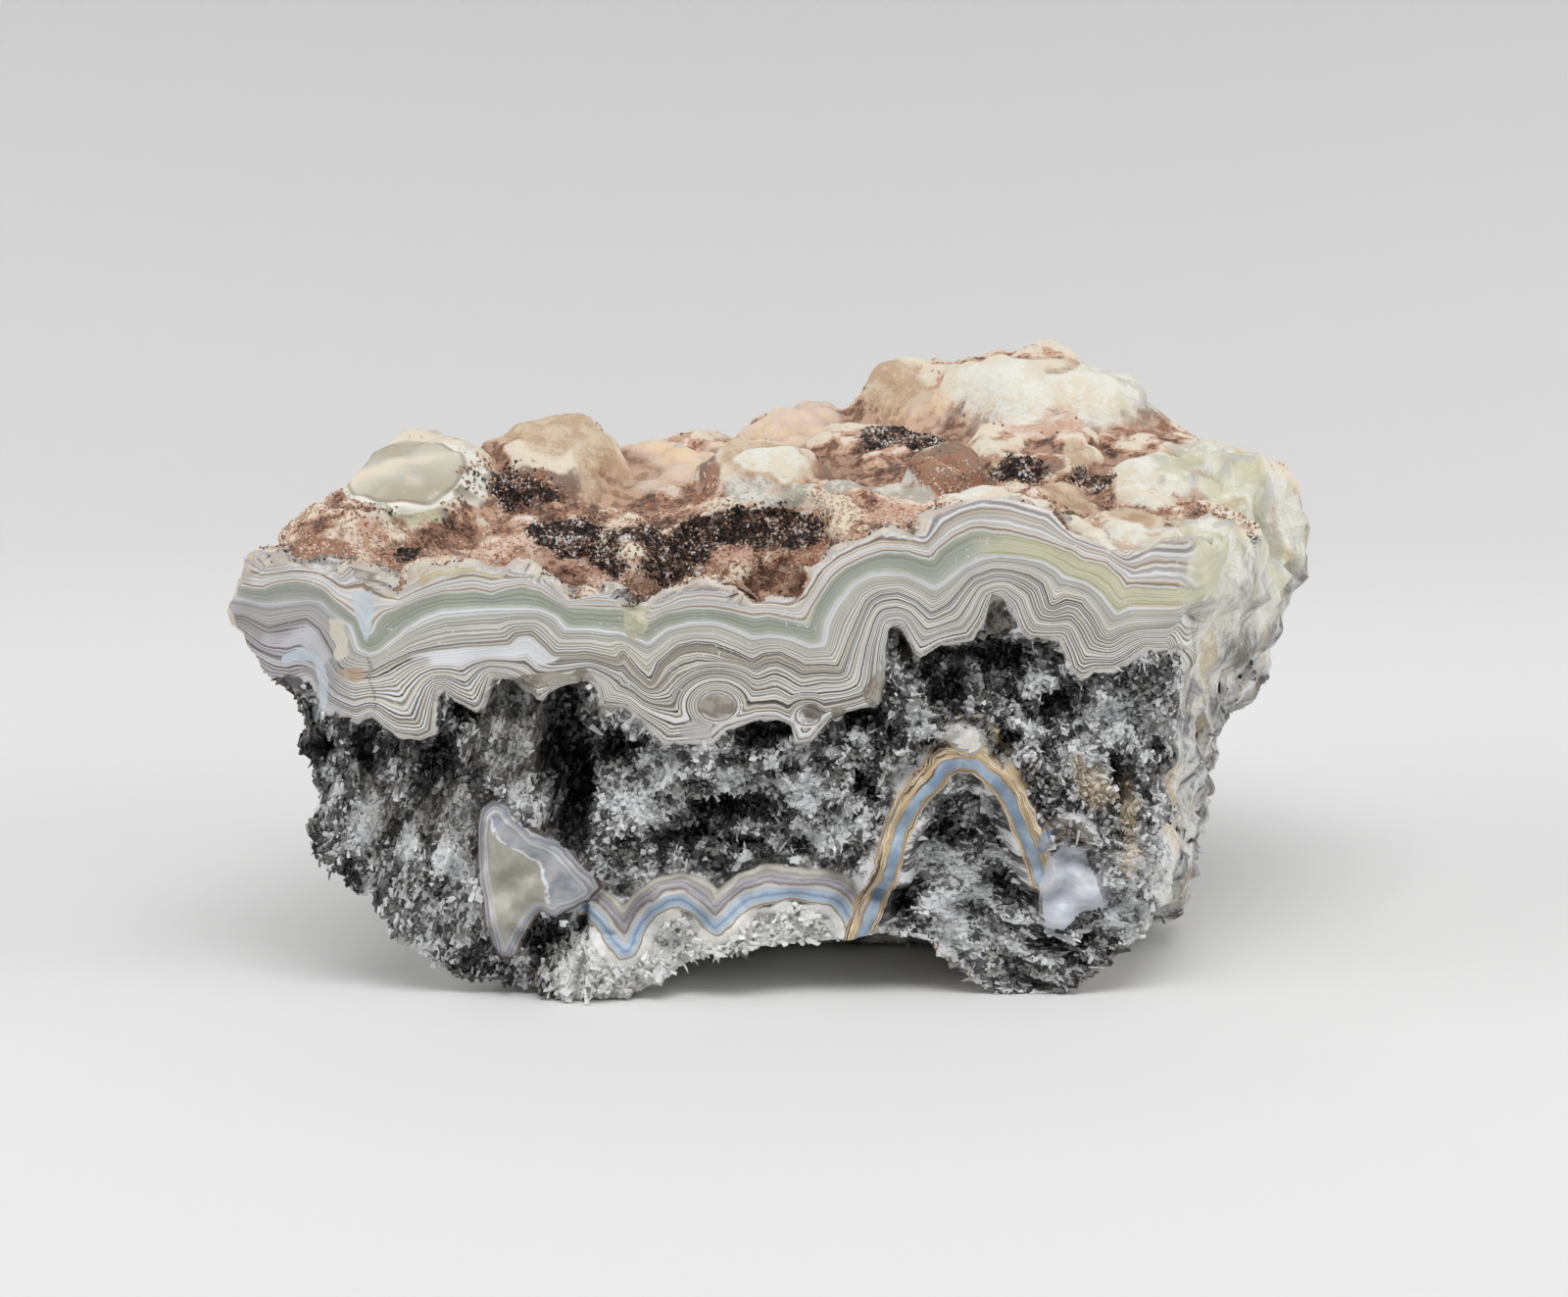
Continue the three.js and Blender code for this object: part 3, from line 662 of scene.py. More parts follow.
    def around(self) -> tuple[np.ndarray, np.ndarray]:
        """Scatters lobes and rock peaks along the outline, for the ends and the back.

        Returns:
            Two arrays of balls as rows of x, y, z and radius: the lobes, then the peaks.
        """
        generator = np.random.default_rng(61)
        corners = np.array(self.outline + self.outline[:1], float)
        lengths = np.linalg.norm(np.diff(corners, axis=0), axis=1)
        stops = np.concatenate([[0], np.cumsum(lengths)])
        count = int(stops[-1] / self.around_step)

        def placed(low: float, high: float, z: tuple, r: tuple) -> np.ndarray:
            """Gives one ball to each step along the outline, shifted at random."""
            places = (np.arange(count) + generator.uniform(low, high, count)) * self.around_step
            x, y = (np.interp(places, stops, corners[:, i]) for i in (0, 1))
            return np.stack([x, y, generator.uniform(*z, count), generator.uniform(*r, count)], axis=1)

        lobes = placed(0.2, 0.8, (self.around_height - 3, self.around_height + 6), (6.5, 10.5))
        peaks = placed(0.6, 1.2, (self.foot_height - 2, self.foot_height + 4), (1.5, 4.5))
        return lobes, peaks

    def face_band(self, x: np.ndarray, z: np.ndarray) -> tuple[np.ndarray, np.ndarray]:
        """Gives the band on the face: between two lines, by the distances to both.

        Args:
            x: how far along the face.
            z: how far up it.

        Returns:
            The band's share, below 0 under the foot, and the distance above the foot.
        """
        foot = BandLine(0, self.form.rind_foot)
        lines = (foot, self.middle, self.sage_foot, self.sage_top, self.crest)
        away = [distance_to_line(line.points, x, z) for line in lines]
        above = [z > along(line.points, x) for line in lines]
        share = -away[0] / 10
        for i in range(len(lines) - 1):
            part = away[i] / np.maximum(away[i] + away[i + 1], 1e-6)
            between = lines[i].share + (lines[i + 1].share - lines[i].share) * part
            share = np.where(above[i], between, share)
        share = np.where(above[-1], 1 + away[-1] / 10, share)
        return share, np.where(above[0], away[0], -away[0])

    def wall_band(self, p: np.ndarray) -> tuple[np.ndarray, np.ndarray]:
        """Gives the band around the ends and the back, and the distance above the rock."""
        x, y, z = p.T
        lobes, peaks = self.around()
        high = (self.form.lofted_height(x, y) - z) * 0.8
        for bx, by, bz, r in lobes:
            high = np.maximum(high, r - np.sqrt((x - bx) ** 2 + (y - by) ** 2 + (z - bz) ** 2))
        for dome in self.form.domes:
            far = np.sqrt((x - dome.x) ** 2 + (y - dome.y) ** 2 + (z - dome.z) ** 2)
            high = np.maximum(high, dome.r - far)
        low = z - self.foot_height
        for bx, by, bz, r in peaks:
            low = np.minimum(low, np.sqrt((x - bx) ** 2 + (y - by) ** 2 + (z - bz) ** 2) - r)
        up = np.maximum(low, 0)
        return up / np.maximum(up + np.maximum(high, 0), 0.01), low

    def fields(self, p: np.ndarray) -> tuple[np.ndarray, np.ndarray]:
        """Gives each place's band and its distance above the rock, blended past the corner."""
        share, low = self.wall_band(p)
        face = p[:, 1] < self.face_depth[1]
        blend = 1 - rise(*self.face_depth, p[face, 1])
        on_face, above = self.face_band(p[face, 0], p[face, 2])
        share[face] = share[face] * (1 - blend) + on_face * blend
        low[face] = low[face] * (1 - blend) + above * blend
        return share, low


def signed_distance(points: tuple, x: np.ndarray, z: np.ndarray) -> np.ndarray:
    """Gives the distance to a closed outline, positive inside it.

    Args:
        points: the corners of the outline.
        x: the first coordinate of each place.
        z: the second coordinate.

    Returns:
        The distance, with its sign by how often a level ray crosses the outline.
    """
    ring = points + points[:1]
    inside = np.zeros(np.shape(x), bool)
    for (ax, az), (bx, bz) in zip(ring, ring[1:]):
        if az != bz:
            crossing = ax + (z - az) * (bx - ax) / (bz - az)
            inside ^= ((az > z) != (bz > z)) & (x < crossing)
    return np.where(inside, 1, -1) * distance_to_line(ring, x, z)


class Mark(Enum):
    """The kinds of patch that mark the stone, by the name of their field."""

    FROST = "frost"
    BLACK = "black"
    CHALK = "chalk"
    FIBRE = "fibre"
    STREAK = "streak"
    OCHRE = "ochre"
    MILK = "milk"
    SMOKY = "smoky"
    OLIVE = "olive"
    RUST = "rust"
    PINK = "pink"
    TAN = "tan"
    PEACH = "peach"
    WHITE = "white"
    DRUSE = "druse"
    GLASS = "glass"
    MOSS = "moss"


@dataclass(frozen=True)
class Spot:
    """A patch of one kind: a ball drawn out along each axis, in millimetres."""

    mark: Mark
    x: float
    y: float
    z: float
    rx: float
    ry: float
    rz: float

    def weight(self, p: np.ndarray) -> np.ndarray:
        """Gives 1 in the middle, falling evenly to 0 at the patch's rim."""
        offset = (p - np.array([self.x, self.y, self.z])) / np.array([self.rx, self.ry, self.rz])
        return np.maximum(1 - np.sqrt((offset**2).sum(axis=1)), 0)


def on_face(mark: Mark, *places: tuple) -> tuple:
    """Gives patches of one kind on the face, each by its x, z and half sizes there."""
    return tuple(Spot(mark, x, -38, z, rx * 1.6, 12, rz * 1.6) for x, z, rx, rz in places)


def on_crust(mark: Mark, *places: tuple) -> tuple:
    """Gives patches of one kind on the crust, each by its x, y, z and half sizes."""
    return tuple(Spot(mark, *place) for place in places)


SPOTS = (
    *on_face(
        Mark.FROST, (-47.2, 19.3, 1.3, 2.8), (-42, 16.6, 2, 2.3), (-36.9, 15.7, 1.6, 2.1),
        (-28.5, 23.4, 3.1, 1.2), (-14.4, 21.9, 4.1, 2), (-8.1, 26, 2.7, 1.6), (1.7, 23.5, 1.8, 2.8),
        (6.7, 21.9, 1.1, 1.2), (14.2, 31.5, 1.7, 1.4), (14.2, 31.5, 1.2, 1), (5, 18.1, 5, 1.1),
        (16.6, 14.3, 3.8, 1.2), (21.9, 10, 1.5, 1), (34.8, 30.9, 1.5, 1.9), (28, 34.8, 2.2, 1.1),
        (18.6, 5.6, 3.3, 1.7), (11.5, 7.6, 2.7, 1.4), (-13.8, 26.5, 1.9, 1.8), (38.5, 8.5, 2.2, 5),
        (34.5, 27, 2, 2), (-41, 5, 3, 2), (40.5, 15, 2.2, 4), (20, 14, 5, 4), (12, 26, 1.5, 1.5), (-2, 24, 2, 1), (9.5, 13.5, 1.2, 2.5),
    ),
    # BLACK patches: pockets in the dark rock, painted black as painted shade over the rock's own dark grey; the surface
    # is also sunk there.
    *on_face(
        Mark.BLACK, (-46.2, 27.3, 1.2, 3.1), (-38.8, 27.7, 3.1, 2.6), (-24.4, 27.2, 3.2, 8.1),
        (-2.4, 30.2, 3.8, 1.2), (0.1, 25, 2.2, 0.9), (7.8, 23.4, 1.4, 1.6), (17.8, 35.5, 2.2, 4.6),
        (18.7, 18.2, 3, 1.6), (13.1, 11.6, 2.3, 1.5), (23.9, 12.7, 2.6, 1.8), (25.8, 28.8, 1.5, 1.4),
        (-26.4, 7.5, 3, 2.4), (30.7, 6.2, 3.2, 1.2), (24.2, 38.9, 2.7, 1.9), (-6.5, 21.5, 4.3, 1.8),
        (-18.7, 28.7, 2.5, 1.8), (-34.5, 33, 1.5, 1.5), (-8.5, 17.5, 6, 0.8), (31, 33, 2, 2),
        (13, 39.5, 1.2, 2.6), (37.5, 24, 1, 2.5), (10, 31, 3, 1.2), (-51.5, 28, 1.6, 1.4),
    ),
    *on_face(Mark.CHALK, (-15.3, 4, 7.6, 4.3), (-0.5, 8.6, 7.7, 2.2), (-19.7, 5.3, 2.2, 2)),
    *on_face(Mark.FIBRE, (-45.5, 21.4, 1.9, 2.8), (-30.4, 29.7, 3, 5.6), (-38, 21, 4, 3)),
    *on_face(Mark.STREAK, (-24.3, 2.2, 4.7, 1.6), (20.2, 3.6, 6.3, 2.6), (31.8, 3.6, 4.3, 1.8)),
    *on_face(Mark.OCHRE, (34.1, 24, 1.6, 2.2), (38.3, 19.1, 1, 4.6)),
    *on_face(Mark.MILK, (-32.8, 40.2, 7, 1.6), (-53.5, 39.5, 2.4, 3)),
    *on_face(Mark.OLIVE, (-16.9, 43.1, 1, 1.8)),
    *on_face(
        Mark.SMOKY, (-19, 32, 2, 1.6), (-25, 36.2, 3.6, 0.7), (9.5, 35.5, 1.2, 1.6), (5.5, 32, 1, 1),
    ),
    *on_crust(
        Mark.RUST, (-27.5, -14, 54, 8, 5, 4), (-40.5, -29, 48.5, 7, 6, 4), (18.5, -13, 56, 7, 6, 6),
        (30, -11.5, 55.5, 2.5, 4, 4), (3, -23, 47, 4, 4, 4), (43, 7, 58, 7, 6, 3),
        (-8.5, -11.5, 54, 3, 5, 5), (4.5, -12.5, 56, 3, 3, 3), (-52, -31, 49, 5, 4, 3),
        (40, -24, 52, 4, 4, 2),
    ),
    *on_crust(
        Mark.PINK, (-29, -27, 47.5, 10, 9, 4), (-6, -20, 46.5, 3, 4, 3), (31, 0, 60, 8, 6, 3),
        (-21, -24, 46, 4, 5, 3), (-47, -27, 52, 3, 3, 2), (14, -24, 52, 6, 5, 3), (5, -28, 46, 5, 5, 4),
    ),
    *on_crust(
        Mark.TAN, (-27.5, -4, 59, 8, 8, 5), (-21, -8, 54, 5, 9, 6), (-2, -12, 57, 6, 6, 5),
        (33, -19, 53.5, 5, 6, 4), (34, -9, 57.5, 3, 5, 3), (40, -26, 52, 4, 4, 3), (12, 16, 62, 7, 9, 4),
    ),
    *on_crust(
        Mark.PEACH, (-15, -1, 54, 7, 10, 6), (-1, 14, 58, 13, 10, 7), (14, 10, 60, 7, 8, 7),
        (-11, 4, 55, 6, 7, 5), (-20, 12, 54, 8, 10, 6), (-34, 6, 56, 8, 8, 6),
    ),
    *on_crust(
        Mark.WHITE, (31, 8, 62, 13, 11, 9), (41.5, -14, 55, 5.5, 11, 4), (-1.5, -13.5, 58, 5, 4, 3),
        (27, -6.5, 58, 4, 3, 1.6), (-26.4, -18, 51, 5, 3, 1.6), (-38, -7, 58, 4, 4, 3),
        (25, -31, 57, 12, 8, 4), (38, -33, 52, 8, 7, 4),
    ),
    *on_crust(
        Mark.DRUSE, (-27, -14, 53.5, 7, 3, 3), (-42.5, -28, 49, 3, 3, 2), (14.5, 1, 57.5, 7.5, 5, 4),
        (-24.5, -20, 49, 6.5, 4, 3.5), (-15, -22, 47, 9.5, 5, 4.5), (-4, -20.5, 50, 10, 4, 3.5),
        (26.5, -13, 54.5, 5, 4, 4), (34.5, -13, 55.5, 3, 3, 2.5), (-32, -13, 53.5, 4, 3, 3),
    ),
    *on_crust(
        Mark.GLASS, (-2, -17.3, 54, 7, 3, 2.6), (8.5, -16, 55, 6, 4.5, 3), (-12.5, 10, 55.5, 4, 6, 4),
        (15, -17, 54, 4, 4, 2),
    ),
    *on_crust(
        Mark.MOSS, (49, -10, 55, 8, 12, 8), (54, -12, 48, 10, 18, 9), (46, -30, 49, 5, 8, 6),
        (42, 14, 62, 7, 10, 8), (-44, -22.5, 52, 8, 2.5, 1.8), (57, 8, 50, 8, 12, 8),
    ),
    *on_crust(Mark.OCHRE, (59, -10, 49, 4, 9, 7), (47, -27, 37, 2, 4, 6), (44, -31, 21, 2, 4, 8)),
    *on_crust(
        Mark.FROST, (46, -31, 41, 3.5, 6, 4), (44.5, -29, 27, 3, 6, 8), (42.5, -32, 14, 3, 6, 8),
    ),
    # Black patches on the right end: painted shade in its pockets, over the rock's own dark grey.
    *on_crust(Mark.BLACK, (53, -20, 37, 5, 7, 5), (43.5, -34, 37, 1.6, 3, 4), (50, -18, 31, 4, 6, 5)),
)


class Tone(Enum):
    """The stone's colours, as plain daylight shows them, in sRGB of 0 to 255."""

    SAGE = (157, 162, 148)
    SAGE_LIGHT = (190, 192, 179)
    OLIVE = (184, 178, 144)
    MILK = (234, 236, 240)
    PALE = (206, 202, 192)
    LACE_GREY = (163, 158, 148)
    LACE_DARK = (62, 58, 53)
    LACE_LIGHT = (218, 216, 208)
    SKIN = (222, 212, 196)
    HAIRLINE = (150, 112, 76)
    LILAC = (192, 186, 188)
    ROCK_BLACK = (20, 20, 22)
    ROCK_DARK = (56, 56, 57)
    ROCK_GREY = (100, 99, 98)
    ROCK_PALE = (152, 151, 149)
    ROCK_WHITE = (222, 223, 224)
    SMOKE = (122, 108, 92)
    SMOKE_DARK = (80, 67, 54)
    FIBRE = (138, 131, 120)
    PINK = (208, 170, 146)
    PINK_PALE = (226, 204, 190)
    TAN = (188, 158, 128)
    TAN_PALE = (210, 190, 164)
    PEACH = (234, 208, 174)
    CREAM = (228, 218, 198)
    RUST = (156, 106, 79)
    RUST_DARK = (96, 70, 57)
    BROWN = (128, 103, 89)
    UMBER = (50, 40, 36)
    BLUE = (128, 148, 172)
    BLUE_PALE = (170, 188, 206)
    MAUVE = (156, 150, 156)
    LAVENDER = (202, 207, 220)
    PLUM = (140, 136, 148)
    OCHRE = (192, 166, 122)
    GOLD = (196, 180, 138)
    CHALK = (240, 240, 238)
    GLASS = (176, 173, 160)
    MOSS = (208, 206, 178)
    MOSS_PALE = (232, 232, 222)
    GREY_LILAC = (182, 180, 182)
    SKY = (200, 214, 224)
    BLOB_BLUE = (152, 158, 168)
    BLOB_CREAM = (178, 176, 162)
    EYE_GREEN = (196, 197, 182)
    EYE_OLIVE = (150, 143, 120)

    @property
    def rgba(self) -> tuple:
        """The colour as linear red, green, blue and full cover."""
        shares = [c / 255 for c in self.value]
        return tuple(c / 12.92 if c <= 0.04045 else ((c + 0.055) / 1.055) ** 2.4 for c in shares) + (1,)


@dataclass(frozen=True)
class Inlay:
    """A small painted shape on the face: a closed area, or a line with a half width."""

    tone: Tone
    half_width: float
    points: tuple

    def depth(self, x: np.ndarray, z: np.ndarray) -> np.ndarray:
        """Gives how far inside the shape each place is, negative outside."""
        if self.half_width:
            return self.half_width - distance_to_line(self.points, x, z)
        return signed_distance(self.points, x, z)


INLAYS = (
    Inlay(Tone.LAVENDER, 0, (
        (28.6, 11.8), (29.2, 15.7), (31.6, 17.7), (33.6, 16.6), (35.2, 12.9), (36.2, 9.6),
        (33.8, 9.9), (32.2, 9), (29.4, 7.7), (28.7, 9.6),
    )),
    Inlay(Tone.PLUM, 0, ((29.3, 10.7), (31.2, 10.9), (30.9, 9.6), (30, 8.8), (29.2, 9.6))),
    Inlay(Tone.MILK, 0.55, ((32, 21.4), (33.4, 21), (34.7, 19.9), (34.8, 18.8))),
    Inlay(Tone.SMOKE, 0.7, ((29.5, 19.6), (30.5, 20.3), (32.1, 20.1), (33.4, 19), (33.7, 17.6))),
    Inlay(Tone.OCHRE, 0.4, ((30.3, 17.9), (30.8, 18.8), (31.6, 19), (32.4, 18.6), (32.6, 17.7))),
    Inlay(Tone.BLUE, 0.7, ((28.8, 17), (29, 18.4), (29.5, 19.3))),
    Inlay(Tone.PLUM, 0.55, ((33.9, 16), (34.7, 14.4), (36.2, 11.2))),
    Inlay(Tone.LACE_LIGHT, 0, ((17.2, 29.2), (17.9, 30.8), (19.8, 31.4), (21.6, 31), (22.2, 29.9), (21.6, 28.7))),
    Inlay(Tone.SMOKE_DARK, 0.22, ((17.2, 29.4), (18, 31.3), (19.9, 31.9), (21.9, 31.4), (22.7, 30))),
    Inlay(Tone.CREAM, 0.3, ((16.9, 30.4), (18.2, 31.9), (20, 32.3), (22, 31.7))),
    Inlay(Tone.OCHRE, 0.25, ((21.9, 31), (22.1, 29.6), (21.3, 28.7), (18.6, 28.9))),
    Inlay(Tone.ROCK_BLACK, 0.5, ((22.7, 30.4), (23, 28.4), (24, 27.4))),
    Inlay(Tone.OCHRE, 0.45, ((23.2, 30.9), (24.4, 28.6), (25.5, 26.6), (26.4, 24.6))),
    Inlay(Tone.SMOKE, 0, ((-9.2, 34.4), (-7.6, 35.1), (-5.4, 34.1), (-5.2, 32.8), (-7.1, 32.2), (-9.1, 32.6))),
    Inlay(Tone.GREY_LILAC, 0, (
        (-11.2, 31.5), (-9.6, 31.9), (-7.6, 31), (-7.8, 29.8), (-9.6, 29.4), (-11.2, 30.1),
    )),
    Inlay(Tone.SMOKE_DARK, 0, ((1.9, 33), (2.7, 33.9), (3.8, 33.9), (4.6, 33), (4, 32.1), (2.6, 32))),
    Inlay(Tone.SMOKE_DARK, 0, ((21.9, 44), (22.8, 46.3), (23.8, 45.8), (25.2, 42.5), (24.6, 40.9), (22, 41.2))),
    Inlay(Tone.SMOKE_DARK, 0, ((12.2, 40.2), (13, 42.2), (14, 40.4), (14.3, 38.6), (12.4, 38.4))),
    Inlay(Tone.ROCK_BLACK, 0.6, ((-11.3, 27.5), (-11, 27.6))),
    Inlay(Tone.ROCK_BLACK, 0.95, ((-9.1, 27.7), (-8.9, 27.8))),
    Inlay(Tone.ROCK_BLACK, 0.8, ((-6.9, 27.2), (-6.6, 27))),
    Inlay(Tone.ROCK_BLACK, 0, ((-52.6, 29.4), (-51, 29.4), (-49.6, 27.8), (-50.4, 26.6), (-52.4, 27))),
    Inlay(Tone.CREAM, 0, ((-49.9, 43.2), (-48.4, 43.1), (-47.9, 41), (-48.2, 38.7), (-49.2, 38.5), (-49.8, 40.5))),
    Inlay(Tone.SKY, 0, ((-47.3, 46), (-45.2, 46.2), (-45.1, 42.6), (-46, 40.6), (-46.8, 42.4))),
    Inlay(Tone.TAN, 0, ((-49.4, 37.4), (-47, 37.6), (-46.3, 36.6), (-47.4, 35.8), (-49, 36.2))),
    Inlay(Tone.SKY, 0.5, ((-54.8, 38.4), (-53, 39.4), (-51.5, 38.2), (-51, 36), (-51.2, 33.6), (-52.2, 31.6))),
    Inlay(Tone.ROCK_BLACK, 0, ((-55.6, 36.6), (-54.2, 37), (-53, 35.6), (-53, 34), (-54.2, 33.4), (-55.6, 34.6))),
    Inlay(Tone.RUST_DARK, 0.22, ((-46.1, 39.2), (-45.5, 36), (-45, 33.2))),
    Inlay(Tone.GOLD, 0.45, ((-39.6, 47.6), (-37.4, 48.6), (-35.2, 49), (-33, 48.9), (-31, 48.2))),
)
INLAY_TONES = tuple(dict.fromkeys(inlay.tone for inlay in INLAYS))


@dataclass(frozen=True)
class FibreZone:
    """A zone of the rock whose fibres run one way: a middle, a direction and how far they stretch."""

    x: float
    z: float
    dx: float
    dz: float
    stretch: float

    def drawn(self, p: np.ndarray) -> np.ndarray:
        """Gives how much each place moves when the zone is squeezed along its fibres."""
        run = (p[:, 0] - self.x) * self.dx + (p[:, 2] - self.z) * self.dz
        return np.outer(run * (1 - self.stretch), (self.dx, 0, self.dz))


@dataclass(frozen=True)
class Fibres:
    """How the rock's grain runs over the stone."""

    left: FibreZone = FibreZone(-36, 20, 0.24, 0.97, 0.32)
    low: FibreZone = FibreZone(19, 8, 0.98, -0.2, 0.36)
    walls: FibreZone = FibreZone(46, 30, -0.1, 0.99, 0.36)

    def shares(self, p: np.ndarray) -> list:
        """Gives how far each place belongs to each zone."""
        x, y, z = p.T
        left = 1 - rise(-25, -19, x)
        low = rise(6, 10, x) * (1 - rise(15, 21, z)) * (1 - rise(38, 42, x))
        walls = np.maximum(rise(40, 44, x), rise(-34, -30, y) * (1 - left))
        return [left, low * (1 - walls), walls]

    def grain(self, p: np.ndarray) -> np.ndarray:
        """Gives places squeezed along the grain, where even noise becomes fibres."""
        zones = (self.left, self.low, self.walls)
        return p - sum(share[:, None] * zone.drawn(p) for share, zone in zip(self.shares(p), zones))

    def direction(self, p: np.ndarray) -> np.ndarray:
        """Gives the grain's direction at each place, of no length where it has none."""
        zones = (self.left, self.low, self.walls)
        return sum(np.outer(share, (zone.dx, 0, zone.dz)) for share, zone in zip(self.shares(p), zones))


@dataclass(frozen=True)
class Nucleus:
    """A middle that the bands ring: its x and z, its radius and how fast the rings grow out."""

    x: float
    z: float
    r: float
    slope: float

    def rings(self, x: np.ndarray, z: np.ndarray) -> np.ndarray:
        """Gives the band's share around the nucleus, growing outwards from its rim."""
        return np.maximum(np.hypot((x - self.x) * 0.8, z - self.z) - self.r, 0) * self.slope


@dataclass(frozen=True)
class FaceDetail:
    """Outlines on the face that the materials follow, in its x and z."""

    blob: tuple = (
        (-33.9, 21.3), (-32.4, 22.4), (-30.9, 22.4), (-29.3, 21.3), (-27.9, 19.9), (-24.7, 18),
        (-23, 16.3), (-21.4, 14), (-20.6, 12.3), (-21.7, 11.1), (-24.5, 10.3), (-25.6, 9.4),
        (-27, 10.3), (-28.1, 9.1), (-30, 5.5), (-31.2, 4), (-32.2, 4.6), (-32.7, 7.4),
        (-33.3, 10.8), (-34, 14.9), (-34.2, 18.6),
    )
    blob_core: tuple = ((10, -26), (12, -26.2), (13.6, -26), (15.6, -26.8), (17.6, -28.8), (18.8, -31.5), (22, -33))
    nuclei: tuple = (Nucleus(-7.4, 33.6, 1.4, 0.1), Nucleus(2.6, 32.4, 0.9, 0.12), Nucleus(-1.8, 31.6, 0.3, 0.14))
    blue: tuple = (
        (-22.1, 10), (-20.5, 9), (-19.1, 7.1), (-17.9, 5.8), (-17.2, 6), (-15.8, 8.6), (-14.5, 10.2),
        (-13.1, 11.3), (-11.5, 11.6), (-9.8, 10.6), (-8.5, 8.9), (-7.7, 8.3), (-5.9, 9.9),
        (-3.5, 11.6), (-1.6, 12.2), (1.1, 12.3), (4.1, 11.8), (5.7, 11.1), (7.4, 9), (8.2, 6.4),
    )
    arch: tuple = (
        (7.8, 5), (8.6, 7), (11.6, 14.2), (12.2, 17), (13.1, 19.8), (13.8, 21.5), (15.2, 23.5),
        (16.9, 25.4), (17.6, 26.6), (19.4, 27.3), (21, 27.3), (22.4, 26.4), (23.7, 25.2),
        (24.9, 23.3), (25.8, 21.3), (26.5, 19.4), (27.5, 17), (28.6, 13.6),
    )

    def arch_distance(self, x: np.ndarray, z: np.ndarray) -> np.ndarray:
        """Gives the distance from the arched vein's middle line, negative under it."""
        away = distance_to_line(self.arch, x, z)
        under = (x > self.arch[0][0]) & (x < self.arch[-1][0]) & (z < along(self.arch, x))
        return np.where(under, -away, away)

    def layer_distance(self, x: np.ndarray, z: np.ndarray) -> np.ndarray:
        """Gives the distance from the blue layer's middle line, negative under it."""
        away = distance_to_line(self.blue, x, z)
        return np.where(z < along(self.blue, x), -away, away)


@dataclass
class Surface:
    """A meshed stone: its smooth and roughened points, triangles, normals and named fields."""

    smooth: np.ndarray
    points: np.ndarray
    triangles: np.ndarray
    normals: np.ndarray
    fields: dict

    def averaged(self, values: np.ndarray, rounds: int) -> np.ndarray:
        """Spreads values over the mesh by taking each point's mean with its neighbours."""
        starts = self.triangles[:, [0, 1, 2]].ravel()
        ends = self.triangles[:, [1, 2, 0]].ravel()
        count = len(self.points)
        weight = np.bincount(starts, minlength=count)
        for _ in range(rounds):
            values = np.stack([np.bincount(starts, v[ends], count) / weight for v in values.T], axis=1)
        return values


